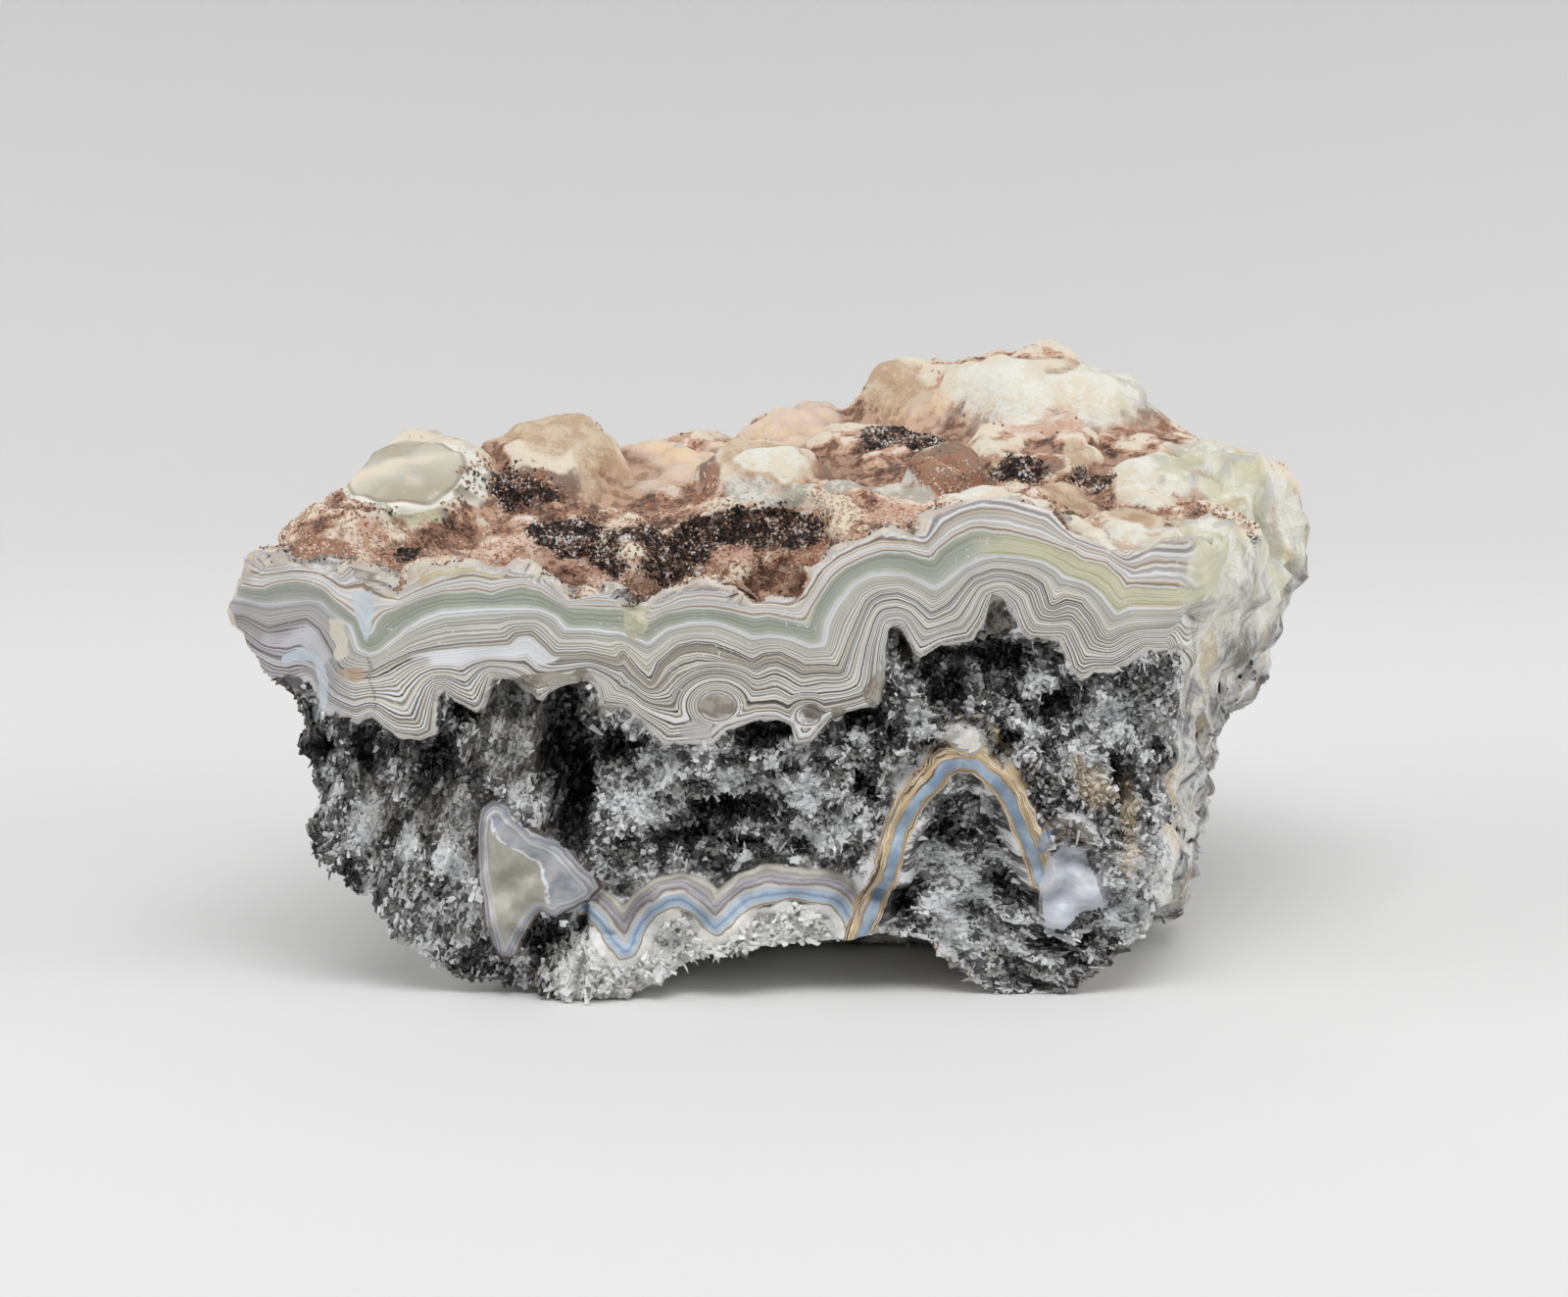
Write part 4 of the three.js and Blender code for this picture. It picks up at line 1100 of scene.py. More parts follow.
def stone_surface(form: StoneForm) -> Surface:
    """Works out the stone's surface and the fields that its materials read.

    Args:
        form: the stone's form.

    Returns:
        The surface, in millimetres.
    """
    detail = FaceDetail()
    plain, triangles = form.box()
    smooth = form.surface(plain)
    normals = mesh_normals(smooth, triangles)
    x, y, z = smooth.T
    band, foot = RindField(form).fields(smooth)
    for nucleus in detail.nuclei:
        band = np.where(y < -20, np.minimum(band, nucleus.rings(x, z)), band)
    face = rise(0.35, 0.6, -normals[:, 1]) * (1 - rise(-34, -31, y))
    crust = (1 - rise(2.0, 3.4, form.top_height(x, y) - z)) * rise(-0.15, 0.2, normals[:, 2])
    behind = y - form.front_y - along(form.front_lean, z) - along(form.front_ends, x)
    skin = 1 - rise(0.8, 2.6, behind + 1.2 * noise(smooth, 5, 71))
    crust = crust * (1 - face) * (1 - skin)
    crust = crust * (1 - (1 - rise(-33, -30, y)) * (1 - rise(0.93, 1.0, band)))
    rock = 1 - rise(-0.4, 0.3, foot)
    fray = [noise(smooth, 4.5, seed) * 1.5 + noise(smooth, 1.7, seed + 3) * 0.8 for seed in (61, 62, 63)]
    frayed = smooth + np.stack(fray, axis=1)
    marks = {
        mark.value: np.max([spot.weight(frayed) for spot in SPOTS if spot.mark is mark], axis=0)
        for mark in Mark
    }
    arch = np.where(face > 0, detail.arch_distance(x, z), 9)
    layer = np.where(face > 0, detail.layer_distance(x, z), 9)
    blob = np.where(face > 0, signed_distance(detail.blob, x, z), -9)
    wobble = noise(smooth, 1.3, 72) * 0.45, noise(smooth, 1.3, 73) * 0.45
    depths = np.array([inlay.depth(x + wobble[0], z + wobble[1]) for inlay in INLAYS])
    nearest = np.argmax(depths, axis=0)
    tones = np.array([INLAY_TONES.index(inlay.tone) for inlay in INLAYS])
    inlay = np.where(face > 0.5, depths.max(axis=0), -9)

    grain = Fibres().grain(smooth)
    frost, black = rise(0.05, 0.5, marks["frost"]), rise(0.05, 0.5, marks["black"])
    tone = 0.6 + 0.2 * noise(grain, 4.4, 51) + 0.32 * noise(grain, 1.7, 52) + 0.2 * noise(grain, 0.9, 53)
    # Frost lightens the rock's tone; the black patches darken it, as painted shade in the pockets.
    tone += 0.3 * frost - 0.3 * black

    points = form.roughened(smooth, normals)
    coarse, _ = facets(grain, 3.2, 5)
    fine, _ = facets(grain, 1.5, 21)
    broad, _ = facets(smooth, 9.0, 33)
    under = rise(0.6, 0.8, -normals[:, 2])
    plum = np.maximum(rise(-0.4, 0.4, INLAYS[0].depth(x, z)), rise(-0.3, 0.3, INLAYS[7].depth(x, z))) * face
    still = np.maximum(rise(-0.6, 0.2, blob), 1 - rise(2, 3, np.abs(arch)))
    still = np.maximum(still, (1 - rise(2.6, 3.4, np.abs(layer - 1))) * (layer < 8))
    still = np.maximum(still * face, plum)
    lumps = noise(smooth, 4.2, 3) * 0.5 + noise(smooth, 1.9, 4) * 0.32 + noise(smooth, 1.1, 6) * 0.22
    soft = np.maximum.reduce([marks["white"], marks["tan"], marks["peach"], marks["moss"]])
    calm = np.clip(1 - 1.5 * soft, 0.5, 1)
    blocks, _ = facets(smooth, 5.5, 35)
    eye_arm = smooth - np.array([form.eye.x, form.eye.y, form.eye.z])
    eye_rise = eye_arm @ np.array(form.eye_normal)
    eye_side = -np.cross(form.eye_normal, (0, 1, 0))
    eye_side /= np.linalg.norm(eye_side)
    eye_u, eye_v = eye_arm @ eye_side, eye_arm @ np.cross(form.eye_normal, eye_side)
    in_eye = (1 - rise(7.7, 8.5, np.hypot(eye_u, eye_v))) * rise(5.4, 7.4, eye_rise)
    height = rock * (coarse * 0.75 + fine * 0.5) * (1 - 0.85 * still)
    height += crust * calm * lumps * (1 - in_eye)
    height += (1 - face) * (1 - crust) * (1 - rock) * broad * 1.0
    height += (1 - face) * rise(0.05, 0.3, marks["moss"]) * (1 - in_eye) * blocks * 1.3
    crevice = (1 - rise(0.2, 0.9, np.abs(blob + 0.35))) * rise(9, 14, z + (x + 34) * 0.4) * face
    # The black pockets and the crevice round the blob are also sunk, so real shade falls in them as well as the painted
    # shade.
    height -= 2.4 * rise(0.15, 0.6, marks["black"]) * rock * face + 0.9 * crevice
    height -= 0.5 * (1 - rise(0.0, 0.4, np.abs(np.abs(arch) - 0.62))) * face * (np.abs(arch) < 1.2) * 0.3
    points = points + normals * (height * (1 - under))[:, None]
    points[:, 2] = np.maximum(points[:, 2], 0)
    made = Surface(smooth, points, triangles, mesh_normals(points, triangles), {})
    # How far each point lies below its neighbours' mean: high in creases, which the materials darken partly as painted
    # shade.
    crease = ((made.averaged(points, 14) - points) * normals).sum(axis=1)
    made.fields = {
        "band": band, "foot": foot, "crust": crust, "face": face, "arch": arch, "layer": layer,
        "blob": blob, "blob_core": x - along(detail.blob_core, z),
        "eye_u": eye_u, "eye_v": eye_v, "eye": in_eye, "still": still, "inlay": inlay,
        "skin": skin * (1 - face), "inlay_tone": (tones[nearest] + 0.5) / len(INLAY_TONES), "tone": tone, "crease": crease,
        "grain": grain * MM, **marks,
    }
    return made


@dataclass(frozen=True)
class Growth:
    """A growth of small broken crystals rooted in the stone."""

    name: str
    count: int
    seed: int
    length: tuple
    width: tuple
    outward: float
    along_grain: float
    scatter: float

    def build(self, surface: Surface, weight: np.ndarray) -> tuple[np.ndarray, np.ndarray, dict]:
        """Scatters tapered slabs over the stone, more of them where the weight is high.

        Each slab is a box of eight corners: a rooted end below the surface, and a narrower,
        slanted end above it.

        Args:
            surface: the stone's surface.
            weight: how densely crystals stand at each of its points.

        Returns:
            The points, the triangles, and the fields of the places where the crystals stand.
        """
        generator = np.random.default_rng(self.seed)
        corners = surface.points[surface.triangles]
        areas = np.linalg.norm(np.cross(corners[:, 1] - corners[:, 0], corners[:, 2] - corners[:, 0]), axis=1)
        chance = areas * weight[surface.triangles].mean(axis=1)
        chosen = generator.choice(len(areas), self.count, p=chance / chance.sum())
        shares = generator.dirichlet((1, 1, 1), self.count)
        roots = (corners[chosen] * shares[:, :, None]).sum(axis=1)
        normals = surface.normals[surface.triangles[chosen, 0]]
        grain = Fibres().direction(roots)
        sign = np.where(generator.uniform(0, 1, self.count) < 0.25, -1, 1)[:, None]
        way = normals * self.outward + grain * sign * self.along_grain
        way += generator.normal(0, self.scatter, (self.count, 3))
        way /= np.linalg.norm(way, axis=1, keepdims=True)
        side = np.cross(way, generator.normal(0, 1, (self.count, 3)))
        side /= np.linalg.norm(side, axis=1, keepdims=True)
        other = np.cross(way, side)
        length = generator.uniform(*self.length, self.count)[:, None]
        width = generator.uniform(*self.width, self.count)[:, None]
        flat = width * generator.uniform(0.35, 1, (self.count, 1))
        taper = generator.uniform(0.4, 0.9, (self.count, 1))
        slant = generator.uniform(-0.4, 0.4, (self.count, 2))
        points = np.zeros((self.count, 8, 3))
        for i, (a, b) in enumerate(((-1, -1), (1, -1), (1, 1), (-1, 1))):
            points[:, i] = roots - way * length * 0.5 + side * width * a + other * flat * b
            top = length * (0.5 + (slant[:, :1] * a + slant[:, 1:] * b) * 0.5)
            points[:, i + 4] = roots + way * top + side * width * a * taper + other * flat * b * taper
        pattern = np.array([
            (0, 2, 1), (0, 3, 2), (4, 5, 6), (4, 6, 7), (0, 1, 5), (0, 5, 4),
            (1, 2, 6), (1, 6, 5), (2, 3, 7), (2, 7, 6), (3, 0, 4), (3, 4, 7),
        ])
        triangles = (np.arange(self.count)[:, None, None] * 8 + pattern).reshape(-1, 3)
        points = points.reshape(-1, 3)
        points[:, 2] = np.maximum(points[:, 2], 0.05)
        at = surface.triangles[chosen, 0]
        fields = {"shade": np.repeat(generator.uniform(0, 1, self.count), 8)}
        fields["grain"] = np.repeat(surface.fields["grain"][at], 8, axis=0)
        for field in ("tone", "frost", "black", "fibre", "chalk", "ochre", "crust", "rust", "pink", "druse"):
            fields[field] = np.repeat(surface.fields[field][at], 8)
        return points, triangles, fields


def add_mesh(name: str, points: np.ndarray, triangles: np.ndarray, fields: dict, smooth: bool) -> bpy.types.Object:
    """Makes a mesh object from whole arrays.

    Args:
        name: the object's name.
        points: places in millimetres, three to a row.
        triangles: corner numbers, three to a row.
        fields: named values or vectors, one to a point.
        smooth: whether the faces are shaded smooth.

    Returns:
        The object, in metres, linked to the scene.
    """
    mesh = bpy.data.meshes.new(name)
    mesh.vertices.add(len(points))
    mesh.vertices.foreach_set("co", (points * MM).ravel())
    mesh.loops.add(triangles.size)
    mesh.loops.foreach_set("vertex_index", triangles.ravel())
    mesh.polygons.add(len(triangles))
    mesh.polygons.foreach_set("loop_start", np.arange(0, triangles.size, 3))
    mesh.polygons.foreach_set("use_smooth", np.full(len(triangles), smooth))
    mesh.update(calc_edges=True)
    mesh.validate()
    for field, values in fields.items():
        kind, socket = ("FLOAT_VECTOR", "vector") if values.ndim == 2 else ("FLOAT", "value")
        attribute = mesh.attributes.new(field, kind, "POINT")
        attribute.data.foreach_set(socket, values.astype(np.float32).ravel())
    made = bpy.data.objects.new(name, mesh)
    bpy.context.collection.objects.link(made)
    return made


# Materials


class Sheet:
    """A node tree being drawn up, with short calls for the nodes that this scene uses."""

    def __init__(self, tree: bpy.types.NodeTree) -> None:
        """Takes the tree that the nodes are added to."""
        self.tree = tree

    def feed(self, socket: bpy.types.NodeSocket, value: object) -> None:
        """Links a socket's source to it, or sets its constant."""
        if isinstance(value, bpy.types.NodeSocket):
            self.tree.links.new(value, socket)
        elif isinstance(value, Tone):
            socket.default_value = value.rgba
        else:
            socket.default_value = value

    def math(self, operation: str, *values: object) -> bpy.types.NodeSocket:
        """Adds a math node and gives its value."""
        node = self.tree.nodes.new("ShaderNodeMath")
        node.operation = operation
        for socket, value in zip(node.inputs, values):
            self.feed(socket, value)
        return node.outputs[0]

    def both(self, *values: object) -> bpy.types.NodeSocket:
        """Multiplies any number of shares together."""
        result = values[0]
        for value in values[1:]:
            result = self.math("MULTIPLY", result, value)
        return result

    def vector(self, operation: str, a: object, b: object) -> bpy.types.NodeSocket:
        """Adds a vector math node and gives its vector."""
        node = self.tree.nodes.new("ShaderNodeVectorMath")
        node.operation = operation
        self.feed(node.inputs[0], a)
        self.feed(node.inputs["Scale" if operation == "SCALE" else 1], b)
        return node.outputs[0]

    def rise(self, value: object, low: float, high: float) -> bpy.types.NodeSocket:
        """Adds an S-shaped rise from 0 at the low edge to 1 at the high one."""
        node = self.tree.nodes.new("ShaderNodeMapRange")
        node.interpolation_type = "SMOOTHSTEP"
        self.feed(node.inputs["Value"], value)
        falling = low > high
        node.inputs["From Min"].default_value = high if falling else low
        node.inputs["From Max"].default_value = low if falling else high
        node.inputs["To Min"].default_value = 1 if falling else 0
        node.inputs["To Max"].default_value = 0 if falling else 1
        return node.outputs[0]

    def within(self, value: object, low: float, high: float, edge: float) -> bpy.types.NodeSocket:
        """Gives 1 between two values, with soft edges."""
        return self.both(self.rise(value, low - edge, low + edge), self.rise(value, high + edge, high - edge))

    def mix(self, share: object, a: object, b: object) -> bpy.types.NodeSocket:
        """Adds a colour mix and gives its colour."""
        node = self.tree.nodes.new("ShaderNodeMix")
        node.data_type = "RGBA"
        self.feed(node.inputs["Factor"], share)
        self.feed(node.inputs[6], a)
        self.feed(node.inputs[7], b)
        return node.outputs[2]

    def blend(self, share: object, a: object, b: object) -> bpy.types.NodeSocket:
        """Adds a mix of two values and gives the value."""
        node = self.tree.nodes.new("ShaderNodeMix")
        self.feed(node.inputs["Factor"], share)
        self.feed(node.inputs[2], a)
        self.feed(node.inputs[3], b)
        return node.outputs[0]

    def ramp(self, value: object, stops: list, steps: bool = False) -> bpy.types.NodeSocket:
        """Adds a colour ramp through (position, tone or grey) stops and gives its colour."""
        node = self.tree.nodes.new("ShaderNodeValToRGB")
        node.color_ramp.interpolation = "CONSTANT" if steps else "LINEAR"
        elements = node.color_ramp.elements
        while len(elements) < len(stops):
            elements.new(1)
        for element, (position, tone) in zip(elements, stops):
            element.position = position
            element.color = tone.rgba if isinstance(tone, Tone) else (tone, tone, tone, 1)
        self.feed(node.inputs[0], value)
        return node.outputs[0]

    def noise(self, vector: object, scale: float, detail: float) -> bpy.types.NodeSocket:
        """Adds a noise node and gives its value."""
        node = self.tree.nodes.new("ShaderNodeTexNoise")
        self.feed(node.inputs["Vector"], vector)
        node.inputs["Scale"].default_value = scale
        node.inputs["Detail"].default_value = detail
        return node.outputs["Fac"]

    def layered(self, vector: object, scale: float, layer: object, count: float, detail: float) -> bpy.types.NodeSocket:
        """Adds noise that changes fast from layer to layer and slowly along each layer."""
        node = self.tree.nodes.new("ShaderNodeTexNoise")
        node.noise_dimensions = "4D"
        self.feed(node.inputs["Vector"], self.vector("SCALE", vector, scale))
        self.feed(node.inputs["W"], self.math("MULTIPLY", layer, count))
        node.inputs["Scale"].default_value = 1
        node.inputs["Detail"].default_value = detail
        return node.outputs["Fac"]

    def cells(self, vector: object, scale: float) -> bpy.types.Node:
        """Adds a Voronoi node and gives the node."""
        node = self.tree.nodes.new("ShaderNodeTexVoronoi")
        self.feed(node.inputs["Vector"], vector)
        node.inputs["Scale"].default_value = scale
        return node

    def attribute(self, name: str, output: str = "Fac") -> bpy.types.NodeSocket:
        """Adds a read of one of the mesh's fields and gives its value."""
        node = self.tree.nodes.new("ShaderNodeAttribute")
        node.attribute_name = name
        return node.outputs[output]

    def position(self) -> bpy.types.NodeSocket:
        """Adds the place on the object, in metres."""
        return self.tree.nodes.new("ShaderNodeTexCoord").outputs["Object"]

    def ragged(self, value: object, texture: object, swing: float) -> bpy.types.NodeSocket:
        """Moves a value up and down by a texture around its middle, so that its edges fray."""
        return self.math("MULTIPLY_ADD", self.math("SUBTRACT", texture, 0.5), swing, value)

    def group(self, group: bpy.types.NodeTree, **values: object) -> bpy.types.Node:
        """Adds a shared group with its inputs fed by name."""
        node = self.tree.nodes.new("ShaderNodeGroup")
        node.node_tree = group
        for name, value in values.items():
            self.feed(node.inputs[name], value)
        return node


class Pattern:
    """A shared node group with named inputs and outputs."""

    def __init__(self, name: str, inputs: dict, outputs: dict) -> None:
        """Makes the empty group.

        Args:
            name: the group's name.
            inputs: socket kinds by name.
            outputs: socket kinds by name.
        """
        self.tree = bpy.data.node_groups.new(name, "ShaderNodeTree")
        for socket, kind in inputs.items():
            self.tree.interface.new_socket(name=socket, in_out="INPUT", socket_type=kind)
        for socket, kind in outputs.items():
            self.tree.interface.new_socket(name=socket, in_out="OUTPUT", socket_type=kind)
        self.sheet = Sheet(self.tree)
        self.inputs = self.tree.nodes.new("NodeGroupInput").outputs
        self.results = self.tree.nodes.new("NodeGroupOutput").inputs

    def give(self, **values: object) -> bpy.types.NodeTree:
        """Links the outputs by name and gives the finished group."""
        for name, value in values.items():
            self.sheet.feed(self.results[name], value)
        return self.tree


VALUE = "NodeSocketFloat"
COLOUR = "NodeSocketColor"
PLACE = "NodeSocketVector"


def lace_pattern() -> bpy.types.NodeTree:
    """Draws the rind's bands from its field: lines that keep their layer and change slowly."""
    pattern = Pattern(
        "Lace bands",
        {"Place": PLACE, "Band": VALUE, "Olive": VALUE, "Milk": VALUE, "Far": VALUE, "Spur": VALUE},
        {"Color": COLOUR, "Height": VALUE},
    )
    s, place = pattern.sheet, pattern.inputs["Place"]
    bent = s.ragged(pattern.inputs["Band"], s.noise(place, 90, 1), 0.05)
    bent = s.ragged(bent, s.noise(place, 900, 2), 0.012)
    fine = s.layered(place, 26, bent, 74, 1)
    beat = s.math("SINE", s.math("MULTIPLY_ADD", bent, 235, s.both(s.layered(place, 22, bent, 9, 1), 16)))
    broad = s.layered(place, 30, bent, 17, 0)
    base = s.ramp(bent, [
        (0.0, Tone.LACE_LIGHT), (0.025, Tone.LACE_GREY), (0.26, Tone.LACE_GREY), (0.29, Tone.LACE_LIGHT),
        (0.33, Tone.LACE_GREY), (0.38, Tone.LACE_GREY), (0.46, Tone.LACE_GREY), (0.49, Tone.LACE_LIGHT),
        (0.58, Tone.PALE), (0.62, Tone.SAGE_LIGHT), (0.665, Tone.SAGE_LIGHT), (0.685, Tone.MILK),
        (0.705, Tone.MILK), (0.725, Tone.SAGE_LIGHT), (0.75, Tone.SAGE), (0.8, Tone.SAGE),
        (0.822, Tone.SAGE_LIGHT), (0.832, Tone.MILK), (0.84, Tone.HAIRLINE), (0.85, Tone.SKIN),
        (0.88, Tone.MILK), (0.915, Tone.SKIN), (0.93, Tone.HAIRLINE), (0.94, Tone.MILK), (0.965, Tone.LILAC),
        (1.0, Tone.SKIN),
    ])
    strength = s.ramp(bent, [
        (0.0, 0.3), (0.03, 1.0), (0.28, 1.0), (0.37, 0.9), (0.39, 1.0), (0.46, 1.0), (0.49, 0.7),
        (0.6, 0.4), (0.68, 0.35), (0.71, 0.1), (0.75, 0.12), (0.81, 0.15), (0.84, 0.25), (0.9, 0.5), (1.0, 0.5),
    ])
    dark_group = s.within(bent, 0.385, 0.47, 0.01)
    shifted = s.math("SUBTRACT", fine, s.both(dark_group, 0.07))
    lines = s.ramp(s.math("MULTIPLY_ADD", beat, 0.1, shifted), [
        (0.38, Tone.LACE_DARK), (0.43, Tone.LACE_DARK), (0.47, Tone.LACE_GREY), (0.51, Tone.PALE),
        (0.55, Tone.LACE_LIGHT), (0.59, Tone.MILK),
    ])
    colour = s.mix(s.both(strength, 0.95), base, lines)
    colour = s.mix(s.both(s.rise(broad, 0.52, 0.6), strength, 0.3), colour, Tone.CREAM)
    colour = s.mix(s.both(s.rise(broad, 0.47, 0.4), strength, 0.35), colour, Tone.LACE_GREY)
    sage = s.within(bent, 0.72, 0.825, 0.008)
    olive = s.both(sage, s.rise(s.ragged(pattern.inputs["Olive"], s.noise(place, 200, 2), 0.6), 0.3, 0.7), 0.9)
    colour = s.mix(olive, colour, s.mix(s.rise(fine, 0.44, 0.56), Tone.OLIVE, Tone.MOSS))
    milky = s.both(s.within(bent, 0.28, 0.43, 0.02), s.rise(pattern.inputs["Milk"], 0.08, 0.25), 0.92)
    colour = s.mix(milky, colour, Tone.MILK)
    # White specks on the rind: partly its own chipped white, partly painted highlight.
    chips_and_glints = s.both(s.rise(s.noise(place, 2600, 1), 0.66, 0.72), s.rise(s.noise(place, 300, 2), 0.5, 0.6), 0.6)
    colour = s.mix(chips_and_glints, colour, Tone.MILK)
    colour = s.mix(s.both(pattern.inputs["Far"], 0.45), colour, Tone.MOSS)
    colour = s.mix(s.both(pattern.inputs["Spur"], s.rise(bent, 0.85, 0.7), 0.45), colour, Tone.PLUM)
    return pattern.give(Color=colour, Height=fine)


def rock_pattern() -> bpy.types.NodeTree:
    """Draws dark crystalline rock: fine grains over a slow field of greys."""
    pattern = Pattern(
        "Dark rock", {"Grain": PLACE, "Tone": VALUE}, {"Color": COLOUR, "Tilt": PLACE, "Gloss": VALUE},
    )
    s, grain = pattern.sheet, pattern.inputs["Grain"]
    coarse = s.cells(grain, 900)
    salt = s.noise(grain, 2400, 2)
    middle = s.noise(grain, 900, 3)
    level = s.ragged(pattern.inputs["Tone"], salt, 1.1)
    level = s.ragged(level, middle, 0.8)
    level = s.ragged(level, coarse.outputs["Distance"], -0.3)
    colour = s.ramp(level, [
        (0.1, Tone.ROCK_BLACK), (0.34, Tone.ROCK_DARK), (0.52, Tone.ROCK_GREY), (0.7, Tone.ROCK_PALE),
        (0.9, Tone.ROCK_WHITE),
    ])
    tilt = s.vector("SUBTRACT", coarse.outputs["Color"], (0.5, 0.5, 0.5))
    return pattern.give(Color=colour, Tilt=tilt, Gloss=coarse.outputs["Color"])


def dust_and_shade_pattern() -> bpy.types.NodeTree:
    """Lays white mineral dust over the rock, and black specks painted as shade in the gaps between its grains and in
    its pockets, in small crisp patches.
    """
    pattern = Pattern("Rock dust and shade", {"Grain": PLACE, "Color": COLOUR, "Frost": VALUE, "Black": VALUE}, {"Color": COLOUR})
    s, grain = pattern.sheet, pattern.inputs["Grain"]
    dusty = s.math("MULTIPLY_ADD", pattern.inputs["Frost"], 0.16, s.noise(grain, 620, 5))
    dusty = s.math("MULTIPLY_ADD", pattern.inputs["Black"], -0.2, dusty)
    # Black specks: painted shade in the gaps and pockets, thicker on the black patches.
    hollow = s.math("MULTIPLY_ADD", pattern.inputs["Black"], 0.2, s.noise(grain, 480, 4))
    hollow = s.math("MULTIPLY_ADD", pattern.inputs["Frost"], -0.1, hollow)
    colour = s.mix(s.both(s.rise(hollow, 0.56, 0.64), 0.85), pattern.inputs["Color"], Tone.ROCK_BLACK)
    colour = s.mix(s.both(s.rise(dusty, 0.585, 0.64), 0.85), colour, Tone.ROCK_WHITE)
    return pattern.give(Color=colour)


def wall_pattern() -> bpy.types.NodeTree:
    """Draws the weathered ends: cream, grey-green and ochre streaks down the stone."""
    pattern = Pattern("Weathered wall", {"Grain": PLACE, "Tone": VALUE}, {"Color": COLOUR})
    s, grain = pattern.sheet, pattern.inputs["Grain"]
    broad = s.noise(grain, 210, 3)
    middle = s.noise(grain, 650, 4)
    level = s.ragged(s.ragged(broad, middle, 0.6), pattern.inputs["Tone"], 0.7)
    level = s.ragged(level, s.noise(grain, 2000, 3), 0.7)
    colour = s.ramp(level, [
        (0.22, Tone.ROCK_DARK), (0.36, Tone.ROCK_GREY), (0.46, Tone.ROCK_PALE), (0.56, Tone.GREY_LILAC),
        (0.66, Tone.LACE_LIGHT), (0.8, Tone.MOSS_PALE),
    ])
    stain = s.rise(s.noise(grain, 320, 4), 0.56, 0.66)
    return pattern.give(Color=s.mix(s.both(stain, 0.55), colour, Tone.OCHRE))


def crust_and_crease_shade_pattern() -> bpy.types.NodeTree:
    """Draws the earthy crust: brown and pink grains, darker in the creases as painted shade over their own brown."""
    pattern = Pattern("Crust and crease shade", {"Place": PLACE, "Crease": VALUE}, {"Color": COLOUR, "Height": VALUE})
    s, place = pattern.sheet, pattern.inputs["Place"]
    broad = s.noise(place, 130, 4)
    middle = s.noise(place, 480, 5)
    grain = s.noise(place, 1900, 3)
    # The crease value darkens the creases: painted shade, on the crust's own rust there.
    level = s.math("SUBTRACT", s.ragged(broad, middle, 1.1), s.both(pattern.inputs["Crease"], 0.5))
    colour = s.ramp(level, [
        (0.25, Tone.RUST_DARK), (0.355, Tone.BROWN), (0.42, Tone.RUST), (0.48, Tone.PINK), (0.56, Tone.TAN),
        (0.62, Tone.PINK_PALE), (0.74, Tone.CREAM),
    ])
    colour = s.mix(s.both(s.rise(grain, 0.54, 0.64), s.rise(level, 0.56, 0.46), 0.65), colour, Tone.UMBER)
    colour = s.mix(s.both(s.rise(grain, 0.44, 0.34), 0.35), colour, Tone.PINK_PALE)
    return pattern.give(Color=colour, Height=s.math("MULTIPLY_ADD", middle, 0.6, s.both(grain, 0.4)))


def arch_pattern() -> bpy.types.NodeTree:
    """Draws the blue-cored vein: a blue stripe between wavy ochre and cream laminae."""
    pattern = Pattern("Arched vein", {"Place": PLACE, "Distance": VALUE}, {"Color": COLOUR, "Mask": VALUE})
    s, place = pattern.sheet, pattern.inputs["Place"]
    away = s.ragged(pattern.inputs["Distance"], s.noise(place, 620, 3), 0.8)
    share = s.math("MULTIPLY_ADD", away, 0.2, 0.5)
    lines = s.layered(place, 140, away, 5.5, 1)
    laminae = s.ramp(lines, [
        (0.34, Tone.SMOKE_DARK), (0.4, Tone.SMOKE), (0.46, Tone.TAN), (0.52, Tone.CREAM),
        (0.58, Tone.OCHRE), (0.66, Tone.FIBRE),
    ])
    laminae = s.mix(s.both(s.within(share, 0.34, 0.38, 0.008), 0.8), laminae, Tone.OCHRE)
    laminae = s.mix(s.both(s.within(share, 0.66, 0.76, 0.012), s.rise(s.noise(place, 500, 3), 0.4, 0.5), 0.8), laminae, Tone.OCHRE)
    core = s.within(share, 0.385, 0.615, 0.008)
    rim = s.within(share, 0.37, 0.63, 0.006)
    blue = s.mix(s.rise(s.noise(place, 300, 3), 0.4, 0.62), Tone.BLUE, Tone.BLUE_PALE)
    colour = s.mix(s.both(rim, 0.7), laminae, Tone.SMOKE)
    colour = s.mix(core, colour, blue)
    mask = s.within(share, 0.27, 0.9, 0.012)
    return pattern.give(Color=colour, Mask=mask)


def layer_pattern() -> bpy.types.NodeTree:
    """Draws the blue lace layer: mauve bands above, a blue stripe, and a cream line under it."""
    pattern = Pattern("Blue layer", {"Place": PLACE, "Distance": VALUE}, {"Color": COLOUR, "Mask": VALUE})
    s, place = pattern.sheet, pattern.inputs["Place"]
    up = s.ragged(pattern.inputs["Distance"], s.noise(place, 500, 3), 0.7)
    share = s.math("MULTIPLY_ADD", up, 0.125, 0.5)
    colour = s.ramp(share, [
        (0.38, Tone.CREAM), (0.405, Tone.SMOKE), (0.42, Tone.PALE), (0.435, Tone.BLUE_PALE), (0.47, Tone.BLUE_PALE),
        (0.5, Tone.BLUE), (0.545, Tone.BLUE_PALE), (0.57, Tone.BLUE_PALE), (0.58, Tone.GREY_LILAC),
        (0.6, Tone.PALE), (0.625, Tone.GREY_LILAC), (0.64, Tone.SMOKE), (0.655, Tone.MAUVE), (0.69, Tone.GREY_LILAC),
        (0.71, Tone.PLUM), (0.73, Tone.GREY_LILAC), (0.76, Tone.LACE_GREY), (0.8, Tone.PALE), (0.84, Tone.LACE_GREY),
    ])
    mask = s.within(share, 0.385, 0.84, 0.012)
    return pattern.give(Color=colour, Mask=mask)


